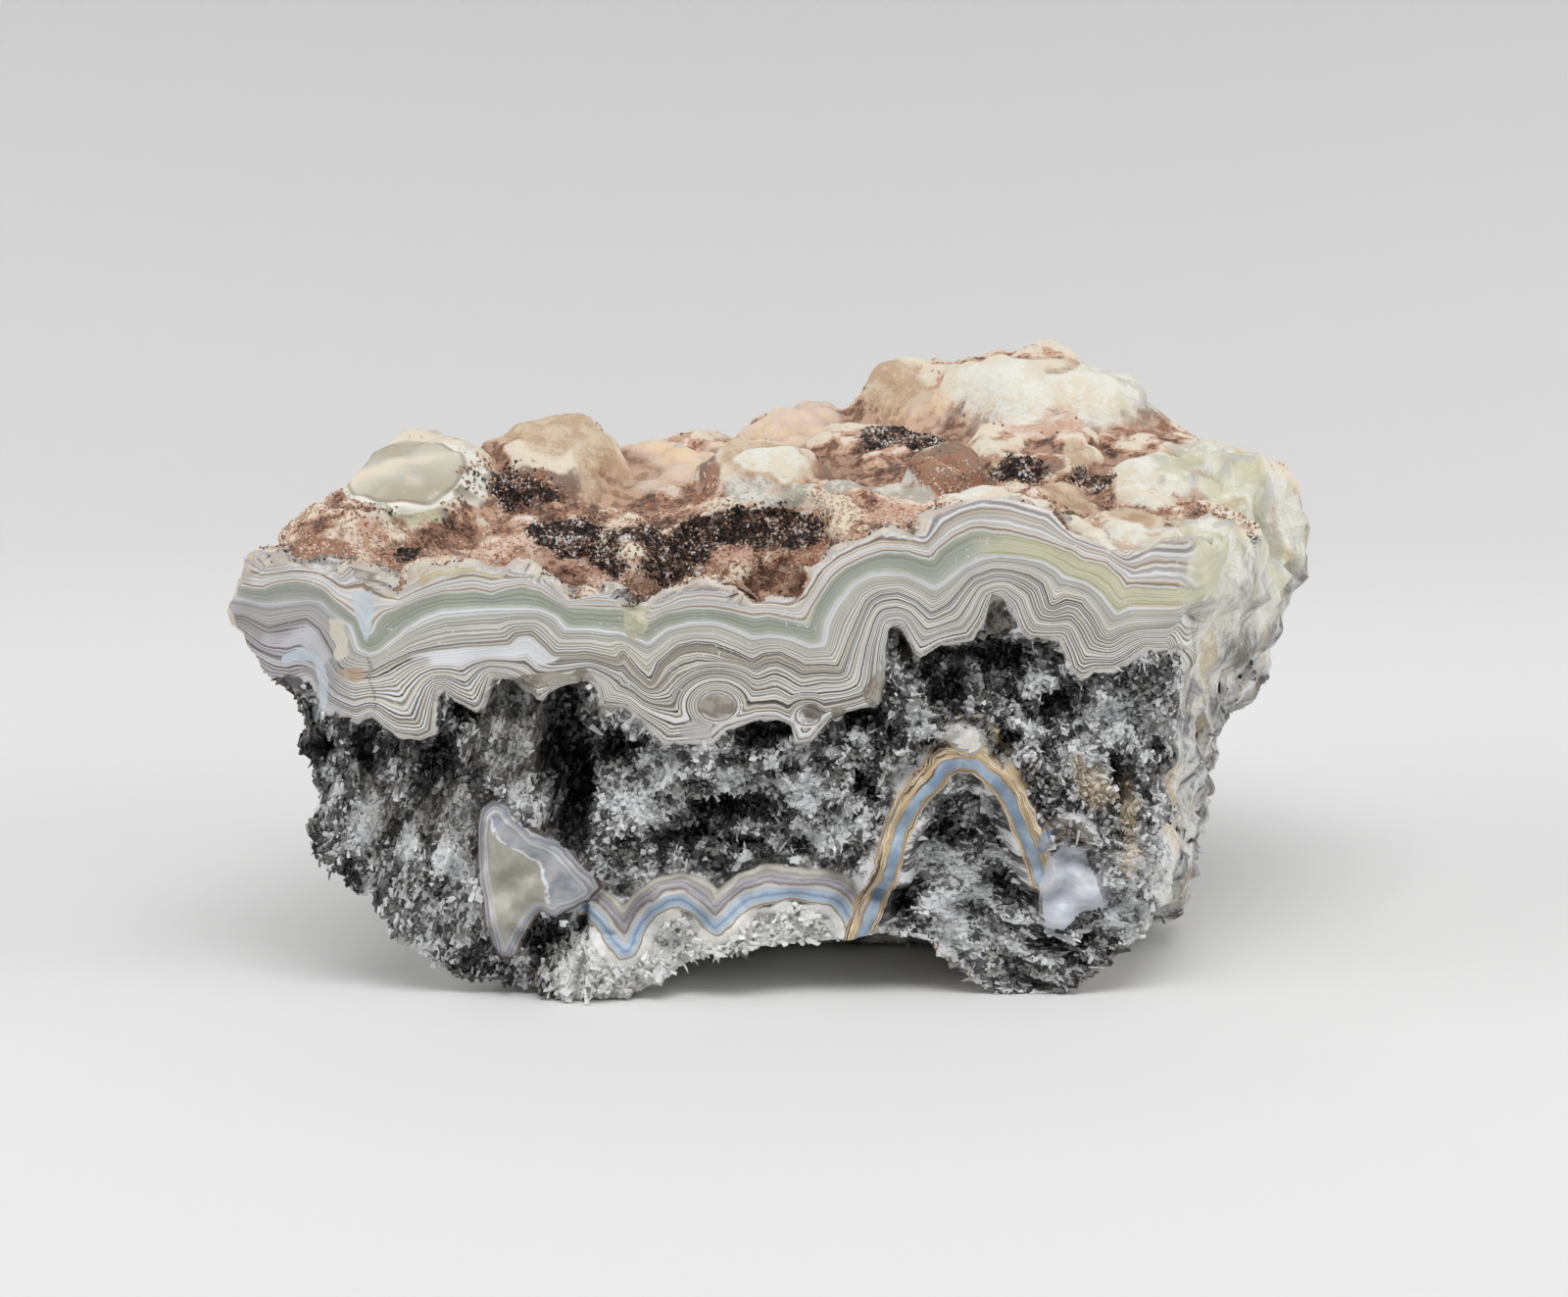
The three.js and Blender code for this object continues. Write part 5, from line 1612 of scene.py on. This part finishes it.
def eye_pattern() -> bpy.types.NodeTree:
    """Draws the cut dome: an olive pool with a cream streak, inside a white rim."""
    pattern = Pattern("Cut dome", {"Place": PLACE, "Across": VALUE, "Up": VALUE}, {"Color": COLOUR})
    s, place = pattern.sheet, pattern.inputs["Place"]
    wander = s.noise(place, 160, 2)
    slope = s.math("MULTIPLY_ADD", pattern.inputs["Across"], -0.32, pattern.inputs["Up"])
    slope = s.ragged(slope, wander, 4)
    colour = s.ramp(s.math("MULTIPLY_ADD", slope, 0.0625, 0.5), [
        (0.15, Tone.EYE_OLIVE), (0.34, Tone.GLASS), (0.44, Tone.EYE_GREEN), (0.52, Tone.CREAM), (0.58, Tone.CREAM),
        (0.64, Tone.EYE_GREEN), (0.74, Tone.GLASS), (0.9, Tone.EYE_OLIVE),
    ])
    away = s.math("SQRT", s.math("ADD", s.both(pattern.inputs["Across"], pattern.inputs["Across"]),
                                 s.both(pattern.inputs["Up"], pattern.inputs["Up"])))
    colour = s.mix(0.32, colour, Tone.CREAM)
    dots = s.both(s.rise(s.noise(place, 1500, 0), 0.72, 0.78), 0.5)
    colour = s.mix(dots, colour, Tone.PEACH)
    colour = s.mix(s.both(s.within(away, 6.5, 6.9, 0.2), 0.6), colour, Tone.FIBRE)
    colour = s.mix(s.rise(away, 6.9, 7.2), colour, Tone.MOSS_PALE)
    return pattern.give(Color=colour)


def blob_pattern() -> bpy.types.NodeTree:
    """Draws the chalcedony blob: cream left of a pale contour, grey right of it, striped at its rim, with a dark line
    of painted shade in the crevice at its edge.
    """
    pattern = Pattern("Blob", {"Place": PLACE, "Depth": VALUE, "Side": VALUE}, {"Color": COLOUR, "Mask": VALUE})
    s, place = pattern.sheet, pattern.inputs["Place"]
    wander = s.noise(place, 420, 4)
    depth = s.ragged(pattern.inputs["Depth"], wander, 0.5)
    side = s.ragged(pattern.inputs["Side"], wander, 1.6)
    mottled = s.rise(s.noise(place, 800, 4), 0.35, 0.65)
    cream = s.mix(mottled, Tone.BLOB_CREAM, Tone.LACE_GREY)
    grey = s.mix(mottled, Tone.GREY_LILAC, Tone.BLOB_BLUE)
    colour = s.mix(s.rise(side, -0.3, 0.1), cream, grey)
    contour = s.both(s.within(side, -0.3, 0.15, 0.1), s.rise(s.noise(place, 1700, 2), 0.36, 0.5), 0.85)
    colour = s.mix(contour, colour, Tone.MILK)
    lines = s.layered(place, 60, depth, 3.4, 0.5)
    striped = s.ramp(lines, [(0.36, Tone.PLUM), (0.46, Tone.BLOB_BLUE), (0.54, Tone.PALE), (0.62, Tone.GREY_LILAC)])
    colour = s.mix(s.both(s.rise(depth, 1.7, 1.1), 0.9), colour, striped)
    # A dark line along the blob's very edge: painted shade in the crevice round it.
    colour = s.mix(s.both(s.rise(depth, 0.25, 0.0), 0.8), colour, Tone.SMOKE_DARK)
    return pattern.give(Color=colour, Mask=s.rise(depth, -0.35, -0.25))


@dataclass(frozen=True)
class Patch:
    """How one kind of patch is painted: two tones, its edge, and how far it covers."""

    mark: Mark
    one: Tone
    other: Tone
    edge: tuple
    cover: float
    on_crust: bool


PATCHES = (
    Patch(Mark.PINK, Tone.PINK, Tone.PINK_PALE, (0.1, 0.22), 0.9, True),
    Patch(Mark.RUST, Tone.RUST, Tone.BROWN, (0.12, 0.28), 0.9, True),
    Patch(Mark.PEACH, Tone.PEACH, Tone.PINK_PALE, (0.05, 0.3), 0.85, True),
    Patch(Mark.TAN, Tone.TAN, Tone.TAN_PALE, (0.08, 0.3), 0.85, True),
    Patch(Mark.WHITE, Tone.MOSS_PALE, Tone.CREAM, (0.08, 0.25), 0.95, True),
    Patch(Mark.GLASS, Tone.GLASS, Tone.LACE_LIGHT, (0.12, 0.25), 0.95, True),
    Patch(Mark.OLIVE, Tone.OLIVE, Tone.MOSS, (0.1, 0.2), 0.7, False),
    Patch(Mark.SMOKY, Tone.SMOKE, Tone.LACE_GREY, (0.15, 0.3), 0.85, False),
    Patch(Mark.STREAK, Tone.SMOKE, Tone.CREAM, (0.1, 0.25), 0.75, False),
    Patch(Mark.FIBRE, Tone.FIBRE, Tone.ROCK_PALE, (0.1, 0.3), 0.25, False),
    Patch(Mark.CHALK, Tone.CHALK, Tone.LACE_LIGHT, (0.06, 0.16), 0.9, False),
    Patch(Mark.OCHRE, Tone.OCHRE, Tone.CREAM, (0.15, 0.3), 0.6, False),
)


def shader(name: str, roughness: float) -> tuple[bpy.types.Material, Sheet, bpy.types.Node]:
    """Makes a plain material.

    Args:
        name: the material's name.
        roughness: its roughness.

    Returns:
        The material, its node sheet and its shader node.
    """
    material = bpy.data.materials.new(name)
    material.use_nodes = True
    surface = material.node_tree.nodes["Principled BSDF"]
    surface.inputs["Roughness"].default_value = roughness
    return material, Sheet(material.node_tree), surface


def stone_material(dust_and_shade: bpy.types.NodeTree, earth: bpy.types.NodeTree) -> bpy.types.Material:
    """Paints the stone: rind, rock and crust by the surface's fields."""
    material, s, surface = shader("Lace agate", 0.45)
    place, grain = s.position(), s.attribute("grain", "Vector")
    middle, fine = s.noise(place, 650, 4), s.noise(place, 2200, 3)
    face, foot, tone = s.attribute("face"), s.attribute("foot"), s.attribute("tone")
    off_face = s.math("SUBTRACT", 1, face)
    split = s.tree.nodes.new("ShaderNodeSeparateXYZ")
    s.feed(split.inputs[0], place)
    lace = s.group(
        lace_pattern(), Place=place, Band=s.attribute("band"), Milk=s.attribute("milk"),
        Olive=s.rise(split.outputs[0], 0.014, 0.03), Spur=s.rise(split.outputs[0], -0.046, -0.05), Far=s.both(off_face, s.rise(split.outputs[0], 0.02, 0.04)),
    )
    rock = s.group(rock_pattern(), Grain=grain, Tone=tone)
    wall = s.group(wall_pattern(), Grain=grain, Tone=tone)
    crust = s.group(earth, Place=place, Crease=s.attribute("crease"))
    is_rind = s.rise(s.ragged(foot, middle, 1.4), -0.15, 0.1)
    rim = s.both(s.within(s.ragged(foot, fine, 0.8), 0.0, 0.5, 0.2), 0.6)
    weathered = s.both(off_face, s.rise(s.ragged(s.noise(place, 60, 2), middle, 0.3), 0.38, 0.5))
    dusted_and_shaded = s.group(dust_and_shade, Grain=grain, Color=rock.outputs["Color"], Frost=s.attribute("frost"), Black=s.attribute("black"))
    colour = s.mix(s.both(weathered, 0.7), dusted_and_shaded.outputs["Color"], wall.outputs["Color"])
    rind = s.mix(rim, lace.outputs["Color"], Tone.LACE_LIGHT)
    skin = s.attribute("skin")
    rind = s.mix(s.both(off_face, s.math("SUBTRACT", 1, skin), 0.75), rind, wall.outputs["Color"])
    skin_paint = s.mix(s.rise(s.noise(place, 240, 3), 0.42, 0.58), Tone.SKIN, s.mix(s.rise(fine, 0.4, 0.6), Tone.LILAC, Tone.TAN_PALE))
    rind = s.mix(s.both(s.rise(skin, 0.2, 0.6), 0.85), rind, skin_paint)
    colour = s.mix(is_rind, colour, rind)
    is_crust = s.rise(s.ragged(s.attribute("crust"), middle, 0.6), 0.45, 0.58)
    colour = s.mix(is_crust, colour, crust.outputs["Color"])
    stain = s.noise(place, 230, 4)
    for patch in PATCHES:
        edge = s.rise(s.ragged(s.attribute(patch.mark.value), middle, 0.3), *patch.edge)
        share = s.both(edge, patch.cover)
        if patch.on_crust:
            share = s.both(share, is_crust)
        paint = s.mix(s.rise(s.ragged(s.ragged(stain, middle, 0.7), fine, 0.5), 0.4, 0.6), patch.one, patch.other)
        colour = s.mix(share, colour, paint)
    moss = s.rise(s.ragged(s.attribute("moss"), middle, 0.3), 0.06, 0.25)
    moss_paint = s.mix(s.rise(s.noise(grain, 260, 4), 0.42, 0.6), Tone.MOSS, Tone.MOSS_PALE)
    moss_paint = s.mix(s.both(s.rise(s.noise(grain, 380, 4), 0.52, 0.62), 0.6), moss_paint, Tone.GREY_LILAC)
    moss_paint = s.mix(s.both(s.rise(s.noise(grain, 240, 5), 0.56, 0.64), 0.6), moss_paint, Tone.OCHRE)
    # Creases in the moss patches turn fibre-brown: painted shade, over the patches' own stains.
    moss_paint = s.mix(s.both(s.rise(s.attribute("crease"), 0.1, 0.5), 0.5), moss_paint, Tone.FIBRE)
    colour = s.mix(s.both(moss, 0.9), colour, moss_paint)
    crease = s.attribute("crease")
    # The crust's creases turn brown, rust and pink: partly its own rust there, partly painted shade.
    crease_rust_and_shade = s.both(is_crust, s.rise(s.ragged(s.ragged(crease, middle, 0.9), fine, 0.6), 0.1, 0.5), 0.65)
    colour = s.mix(crease_rust_and_shade, colour, s.mix(s.rise(middle, 0.42, 0.58), s.mix(s.rise(fine, 0.4, 0.6), Tone.BROWN, Tone.RUST), Tone.PINK))
    druse = s.rise(s.ragged(s.attribute("druse"), middle, 0.5), 0.12, 0.26)
    druse_paint = s.ramp(s.ragged(fine, middle, 1.2), [
        (0.3, Tone.ROCK_BLACK), (0.45, Tone.UMBER), (0.55, Tone.RUST_DARK), (0.66, Tone.BROWN), (0.75, Tone.ROCK_PALE),
    ])
    colour = s.mix(s.both(druse, is_crust), colour, druse_paint)
    layer = s.group(layer_pattern(), Place=place, Distance=s.attribute("layer"))
    colour = s.mix(s.both(layer.outputs["Mask"], face), colour, layer.outputs["Color"])
    arch = s.group(arch_pattern(), Place=place, Distance=s.attribute("arch"))
    colour = s.mix(s.both(arch.outputs["Mask"], face), colour, arch.outputs["Color"])
    blob = s.group(
        blob_pattern(), Place=place, Depth=s.attribute("blob"), Side=s.attribute("blob_core"),
    )
    colour = s.mix(blob.outputs["Mask"], colour, blob.outputs["Color"])
    steps = [(i / len(INLAY_TONES), each) for i, each in enumerate(INLAY_TONES)]
    inlay_paint = s.ramp(s.attribute("inlay_tone"), steps, True)
    inlay_paint = s.mix(s.both(s.rise(middle, 0.45, 0.62), 0.35), inlay_paint, Tone.LACE_LIGHT)
    inlaid = s.rise(s.ragged(s.attribute("inlay"), middle, 0.5), -0.08, 0.08)
    colour = s.mix(s.both(inlaid, 0.8), colour, inlay_paint)
    eye = s.group(eye_pattern(), Place=place, Across=s.attribute("eye_u"), Up=s.attribute("eye_v"))
    in_eye = s.rise(s.attribute("eye"), 0.3, 0.6)
    colour = s.mix(in_eye, colour, eye.outputs["Color"])
    s.feed(surface.inputs["Base Color"], colour)

    geometry = s.tree.nodes.new("ShaderNodeNewGeometry").outputs["Normal"]
    smooth_spot = s.math("MAXIMUM", in_eye, s.rise(s.attribute("still"), 0.4, 0.8))
    is_rock = s.both(s.math("SUBTRACT", 1, is_rind), s.math("SUBTRACT", 1, is_crust), s.math("SUBTRACT", 1, smooth_spot))
    tilted = s.vector("ADD", geometry, s.vector("SCALE", rock.outputs["Tilt"], s.both(is_rock, 0.7)))
    bump = s.tree.nodes.new("ShaderNodeBump")
    bump.inputs["Strength"].default_value = 0.8
    bump.inputs["Distance"].default_value = 0.0006
    height = s.blend(is_crust, s.both(lace.outputs["Height"], 0.25), crust.outputs["Height"])
    height = s.blend(is_rock, height, fine)
    height = s.blend(off_face, height, s.ragged(middle, fine, 0.4))
    s.feed(bump.inputs["Height"], s.both(height, s.math("SUBTRACT", 1, smooth_spot)))
    s.feed(bump.inputs["Normal"], s.vector("NORMALIZE", tilted, (0, 0, 0)))
    s.feed(surface.inputs["Normal"], bump.outputs[0])
    rough = s.blend(is_rock, 0.42, s.blend(rock.outputs["Gloss"], 0.2, 0.7))
    rough = s.blend(is_crust, rough, 0.85)
    s.feed(surface.inputs["Roughness"], s.blend(smooth_spot, rough, 0.35))
    return material


def crystal_material(dust_and_shade: bpy.types.NodeTree, soil: bpy.types.NodeTree) -> bpy.types.Material:
    """Paints the broken crystals: each its own grey, and white with dust or black with painted shade, by its patch."""
    material, s, surface = shader("Broken crystal", 0.25)
    level = s.ragged(s.attribute("tone"), s.attribute("shade"), 0.75)
    level = s.math("MULTIPLY_ADD", s.attribute("chalk"), 1.2, level)
    colour = s.ramp(level, [
        (0.1, Tone.ROCK_BLACK), (0.34, Tone.ROCK_DARK), (0.52, Tone.ROCK_GREY), (0.7, Tone.ROCK_PALE),
        (0.9, Tone.ROCK_WHITE),
    ])
    shade = s.attribute("shade")
    dusted_and_shaded = s.group(dust_and_shade, Grain=s.attribute("grain", "Vector"), Color=colour, Frost=s.attribute("frost"), Black=s.attribute("black"))
    colour = dusted_and_shaded.outputs["Color"]
    colour = s.mix(s.both(s.rise(s.attribute("fibre"), 0.1, 0.4), 0.35), colour, s.mix(shade, Tone.FIBRE, Tone.ROCK_DARK))
    colour = s.mix(s.both(s.rise(s.attribute("chalk"), 0.05, 0.2), s.rise(shade, 0.15, 0.3), 0.9), colour, Tone.CHALK)
    colour = s.mix(s.both(s.rise(s.attribute("ochre"), 0.1, 0.4), 0.6), colour, s.mix(shade, Tone.OCHRE, Tone.CREAM))
    place = s.position()
    earth = s.group(soil, Place=place, Crease=0.0).outputs["Color"]
    own = s.ramp(shade, [(0.0, Tone.RUST_DARK), (0.3, Tone.BROWN), (0.6, Tone.PINK), (0.9, Tone.PINK_PALE)])
    earth = s.mix(0.22, earth, own)
    pink = s.ramp(shade, [(0.0, Tone.RUST), (0.3, Tone.PINK), (0.7, Tone.PINK_PALE)])
    earth = s.mix(s.rise(s.attribute("pink"), 0.1, 0.25), earth, pink)
    dark = s.ramp(s.ragged(s.noise(place, 520, 3), shade, 0.35), [
        (0.38, Tone.ROCK_BLACK), (0.46, Tone.UMBER), (0.52, Tone.RUST_DARK), (0.57, Tone.BROWN), (0.62, Tone.PINK),
        (0.68, Tone.ROCK_WHITE),
    ])
    earth = s.mix(s.rise(s.attribute("druse"), 0.1, 0.2), earth, dark)
    colour = s.mix(s.rise(s.attribute("crust"), 0.4, 0.6), colour, earth)
    s.feed(surface.inputs["Base Color"], colour)
    s.feed(surface.inputs["Roughness"], s.blend(s.rise(s.attribute("crust"), 0.4, 0.6), s.blend(shade, 0.15, 0.5), 0.7))
    return material


# The studio


@dataclass(frozen=True)
class Studio:
    """The pale sweep, the soft lights and the camera, in metres."""

    pivot: tuple = (0, -0.038, 0.0401)
    distance: float = 0.4
    elevation: float = 12
    lens: float = 83.7
    flat_to: float = 0.07
    bend: float = 0.14

    def sweep(self) -> bpy.types.Object:
        """Makes the floor, which bends up into the backdrop and is see-through from behind; the paper greys up the
        backdrop as painted shade.
        """
        angles = np.linspace(0, math.pi / 2, 33)
        y = np.concatenate([[-1.6], self.flat_to + self.bend * np.sin(angles), [self.flat_to + self.bend]])
        z = np.concatenate([[0], self.bend * (1 - np.cos(angles)), [0.6]])
        count = len(y)
        points = np.concatenate([np.stack([np.full(count, x), y, z], axis=1) for x in (-1.5, 1.5)])
        low = np.arange(count - 1)
        triangles = np.concatenate([
            np.stack([low, low + count, low + 1 + count], axis=1),
            np.stack([low, low + 1 + count, low + 1], axis=1),
        ])
        corners = [(-1.5, self.flat_to, 0), (1.5, self.flat_to, 0), (-1.5, 1.6, 0), (1.5, 1.6, 0)]
        points = np.concatenate([points, corners])
        triangles = np.concatenate([triangles, 2 * count + np.array([[0, 1, 3], [0, 3, 2]])])
        floor = add_mesh("Sweep", points / MM, triangles, {}, True)
        material, s, surface = shader("Pale paper shaded upwards", 0.9)
        back = s.tree.nodes.new("ShaderNodeNewGeometry").outputs["Backfacing"]
        s.feed(surface.inputs["Alpha"], s.math("SUBTRACT", 1, back))
        split = s.tree.nodes.new("ShaderNodeSeparateXYZ")
        s.feed(split.inputs[0], s.position())
        # The paper greys with height: painted shade where less light reaches the backdrop.
        s.feed(surface.inputs["Base Color"], s.ramp(split.outputs[2], [(0.0, 0.8), (0.02, 0.66), (0.25, 0.42)]))
        floor.data.materials.append(material)
        return floor

    def light(self, name: str, place: tuple, size: tuple, power: float) -> None:
        """Hangs a soft light, so wide and so high, that looks at the stone."""
        data = bpy.data.lights.new(name, "AREA")
        data.shape = "RECTANGLE"
        data.size, data.size_y = size
        data.energy = power
        lamp = bpy.data.objects.new(name, data)
        lamp.location = place
        lamp.rotation_euler = (Vector((0, 0, 0.03)) - Vector(place)).to_track_quat("-Z", "Y").to_euler()
        bpy.context.collection.objects.link(lamp)

    def camera(self) -> None:
        """Sets up the camera that looks slightly down at the face."""
        data = bpy.data.cameras.new("Camera")
        data.lens = self.lens
        data.clip_start = 0.01
        tilt = math.radians(self.elevation)
        eye = Vector(self.pivot) - self.distance * Vector((0, math.cos(tilt), -math.sin(tilt)))
        camera = bpy.data.objects.new("Camera", data)
        camera.location = eye
        camera.rotation_euler = (math.pi / 2 - tilt, 0, 0)
        bpy.context.collection.objects.link(camera)
        bpy.context.scene.camera = camera

    def build(self) -> None:
        """Makes the whole studio."""
        self.sweep()
        self.light("Left softbox", (-0.75, -0.2, 0.38), (0.6, 0.45), 2.5)
        self.light("Right softbox", (0.75, -0.2, 0.38), (0.6, 0.45), 2.7)
        self.light("Front softbox", (0, -0.5, 1.0), (0.9, 0.5), 6.8)
        world = bpy.data.worlds.new("Studio air")
        world.use_nodes = True
        world.node_tree.nodes["Background"].inputs["Color"].default_value = (1, 1, 1, 1)
        world.node_tree.nodes["Background"].inputs["Strength"].default_value = 0.2
        bpy.context.scene.world = world
        bpy.context.scene.view_settings.view_transform = "Standard"
        self.camera()


def rock_weight(surface: Surface) -> np.ndarray:
    """Gives how densely crystals stand on the dark rock: thick on the face, thin elsewhere."""
    f = surface.fields
    bare = np.maximum(f["still"], f["face"] * rise(-0.2, 0.2, f["inlay"]))
    low = 1 - rise(0.5, 0.95, -surface.normals[:, 2])
    weathered = 1 - rise(0.05, 0.25, f["moss"])
    turned = 1 - 0.85 * rise(0.4, 0.65, np.abs(surface.normals[:, 0]))
    rock = (1 - rise(-0.6, 0.1, f["foot"])) * (1 - f["crust"]) * (1 - bare) * low * weathered
    chalky = 1 - 0.6 * rise(0.05, 0.3, f["chalk"])
    return rock * turned * chalky * (0.05 + 0.95 * f["face"])


def crust_weight(surface: Surface) -> np.ndarray:
    """Gives how densely grains lie on the crust: thick near the face and in dark hollows."""
    f = surface.fields
    smooth = np.maximum.reduce([f["white"], f["tan"], f["peach"], f["moss"], f["glass"]])
    rough = f["crust"] * (1 - rise(0.05, 0.2, smooth)) * (1 - f["eye"])
    near = 1 - rise(-22, -10, surface.smooth[:, 1])
    hollow = rise(0.08, 0.25, f["druse"]) * f["crust"]
    return rough * (0.03 + 0.97 * near) + 2.2 * hollow


def main() -> None:
    """Builds the stone and its studio in order."""
    logging.basicConfig(level=logging.INFO)
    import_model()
    surface = stone_surface(StoneForm())
    stone = add_mesh("stone", surface.points, surface.triangles, surface.fields, True)
    dust_and_shade, earth = dust_and_shade_pattern(), crust_and_crease_shade_pattern()
    stone.data.materials.append(stone_material(dust_and_shade, earth))
    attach(stone, BODY)
    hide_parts(NODE)
    LOG.info("stone: %d triangles", len(surface.triangles))
    rock, crust = rock_weight(surface), crust_weight(surface)
    growths = (
        (Growth("rock_blades", 9000, 7, (0.7, 1.8), (0.1, 0.32), 0.12, 1.3, 0.3), rock),
        (Growth("rock_chips", 9000, 8, (0.4, 1.0), (0.2, 0.45), 0.5, 0.4, 0.6), rock),
        (Growth("rock_grains", 14000, 9, (0.2, 0.5), (0.08, 0.2), 0.7, 0, 0.8), rock),
        (Growth("crust_grains", 16000, 10, (0.2, 0.5), (0.08, 0.18), 0.5, 0, 0.7), crust),
    )
    paint = crystal_material(dust_and_shade, earth)
    for growth, weight in growths:
        points, triangles, fields = growth.build(surface, weight)
        crystals = add_mesh(growth.name, points, triangles, fields, False)
        crystals.data.materials.append(paint)
        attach(crystals, BODY)
        LOG.info("%s: %d triangles", growth.name, len(triangles))
    Studio().build()


if __name__ == "__main__":
    main()
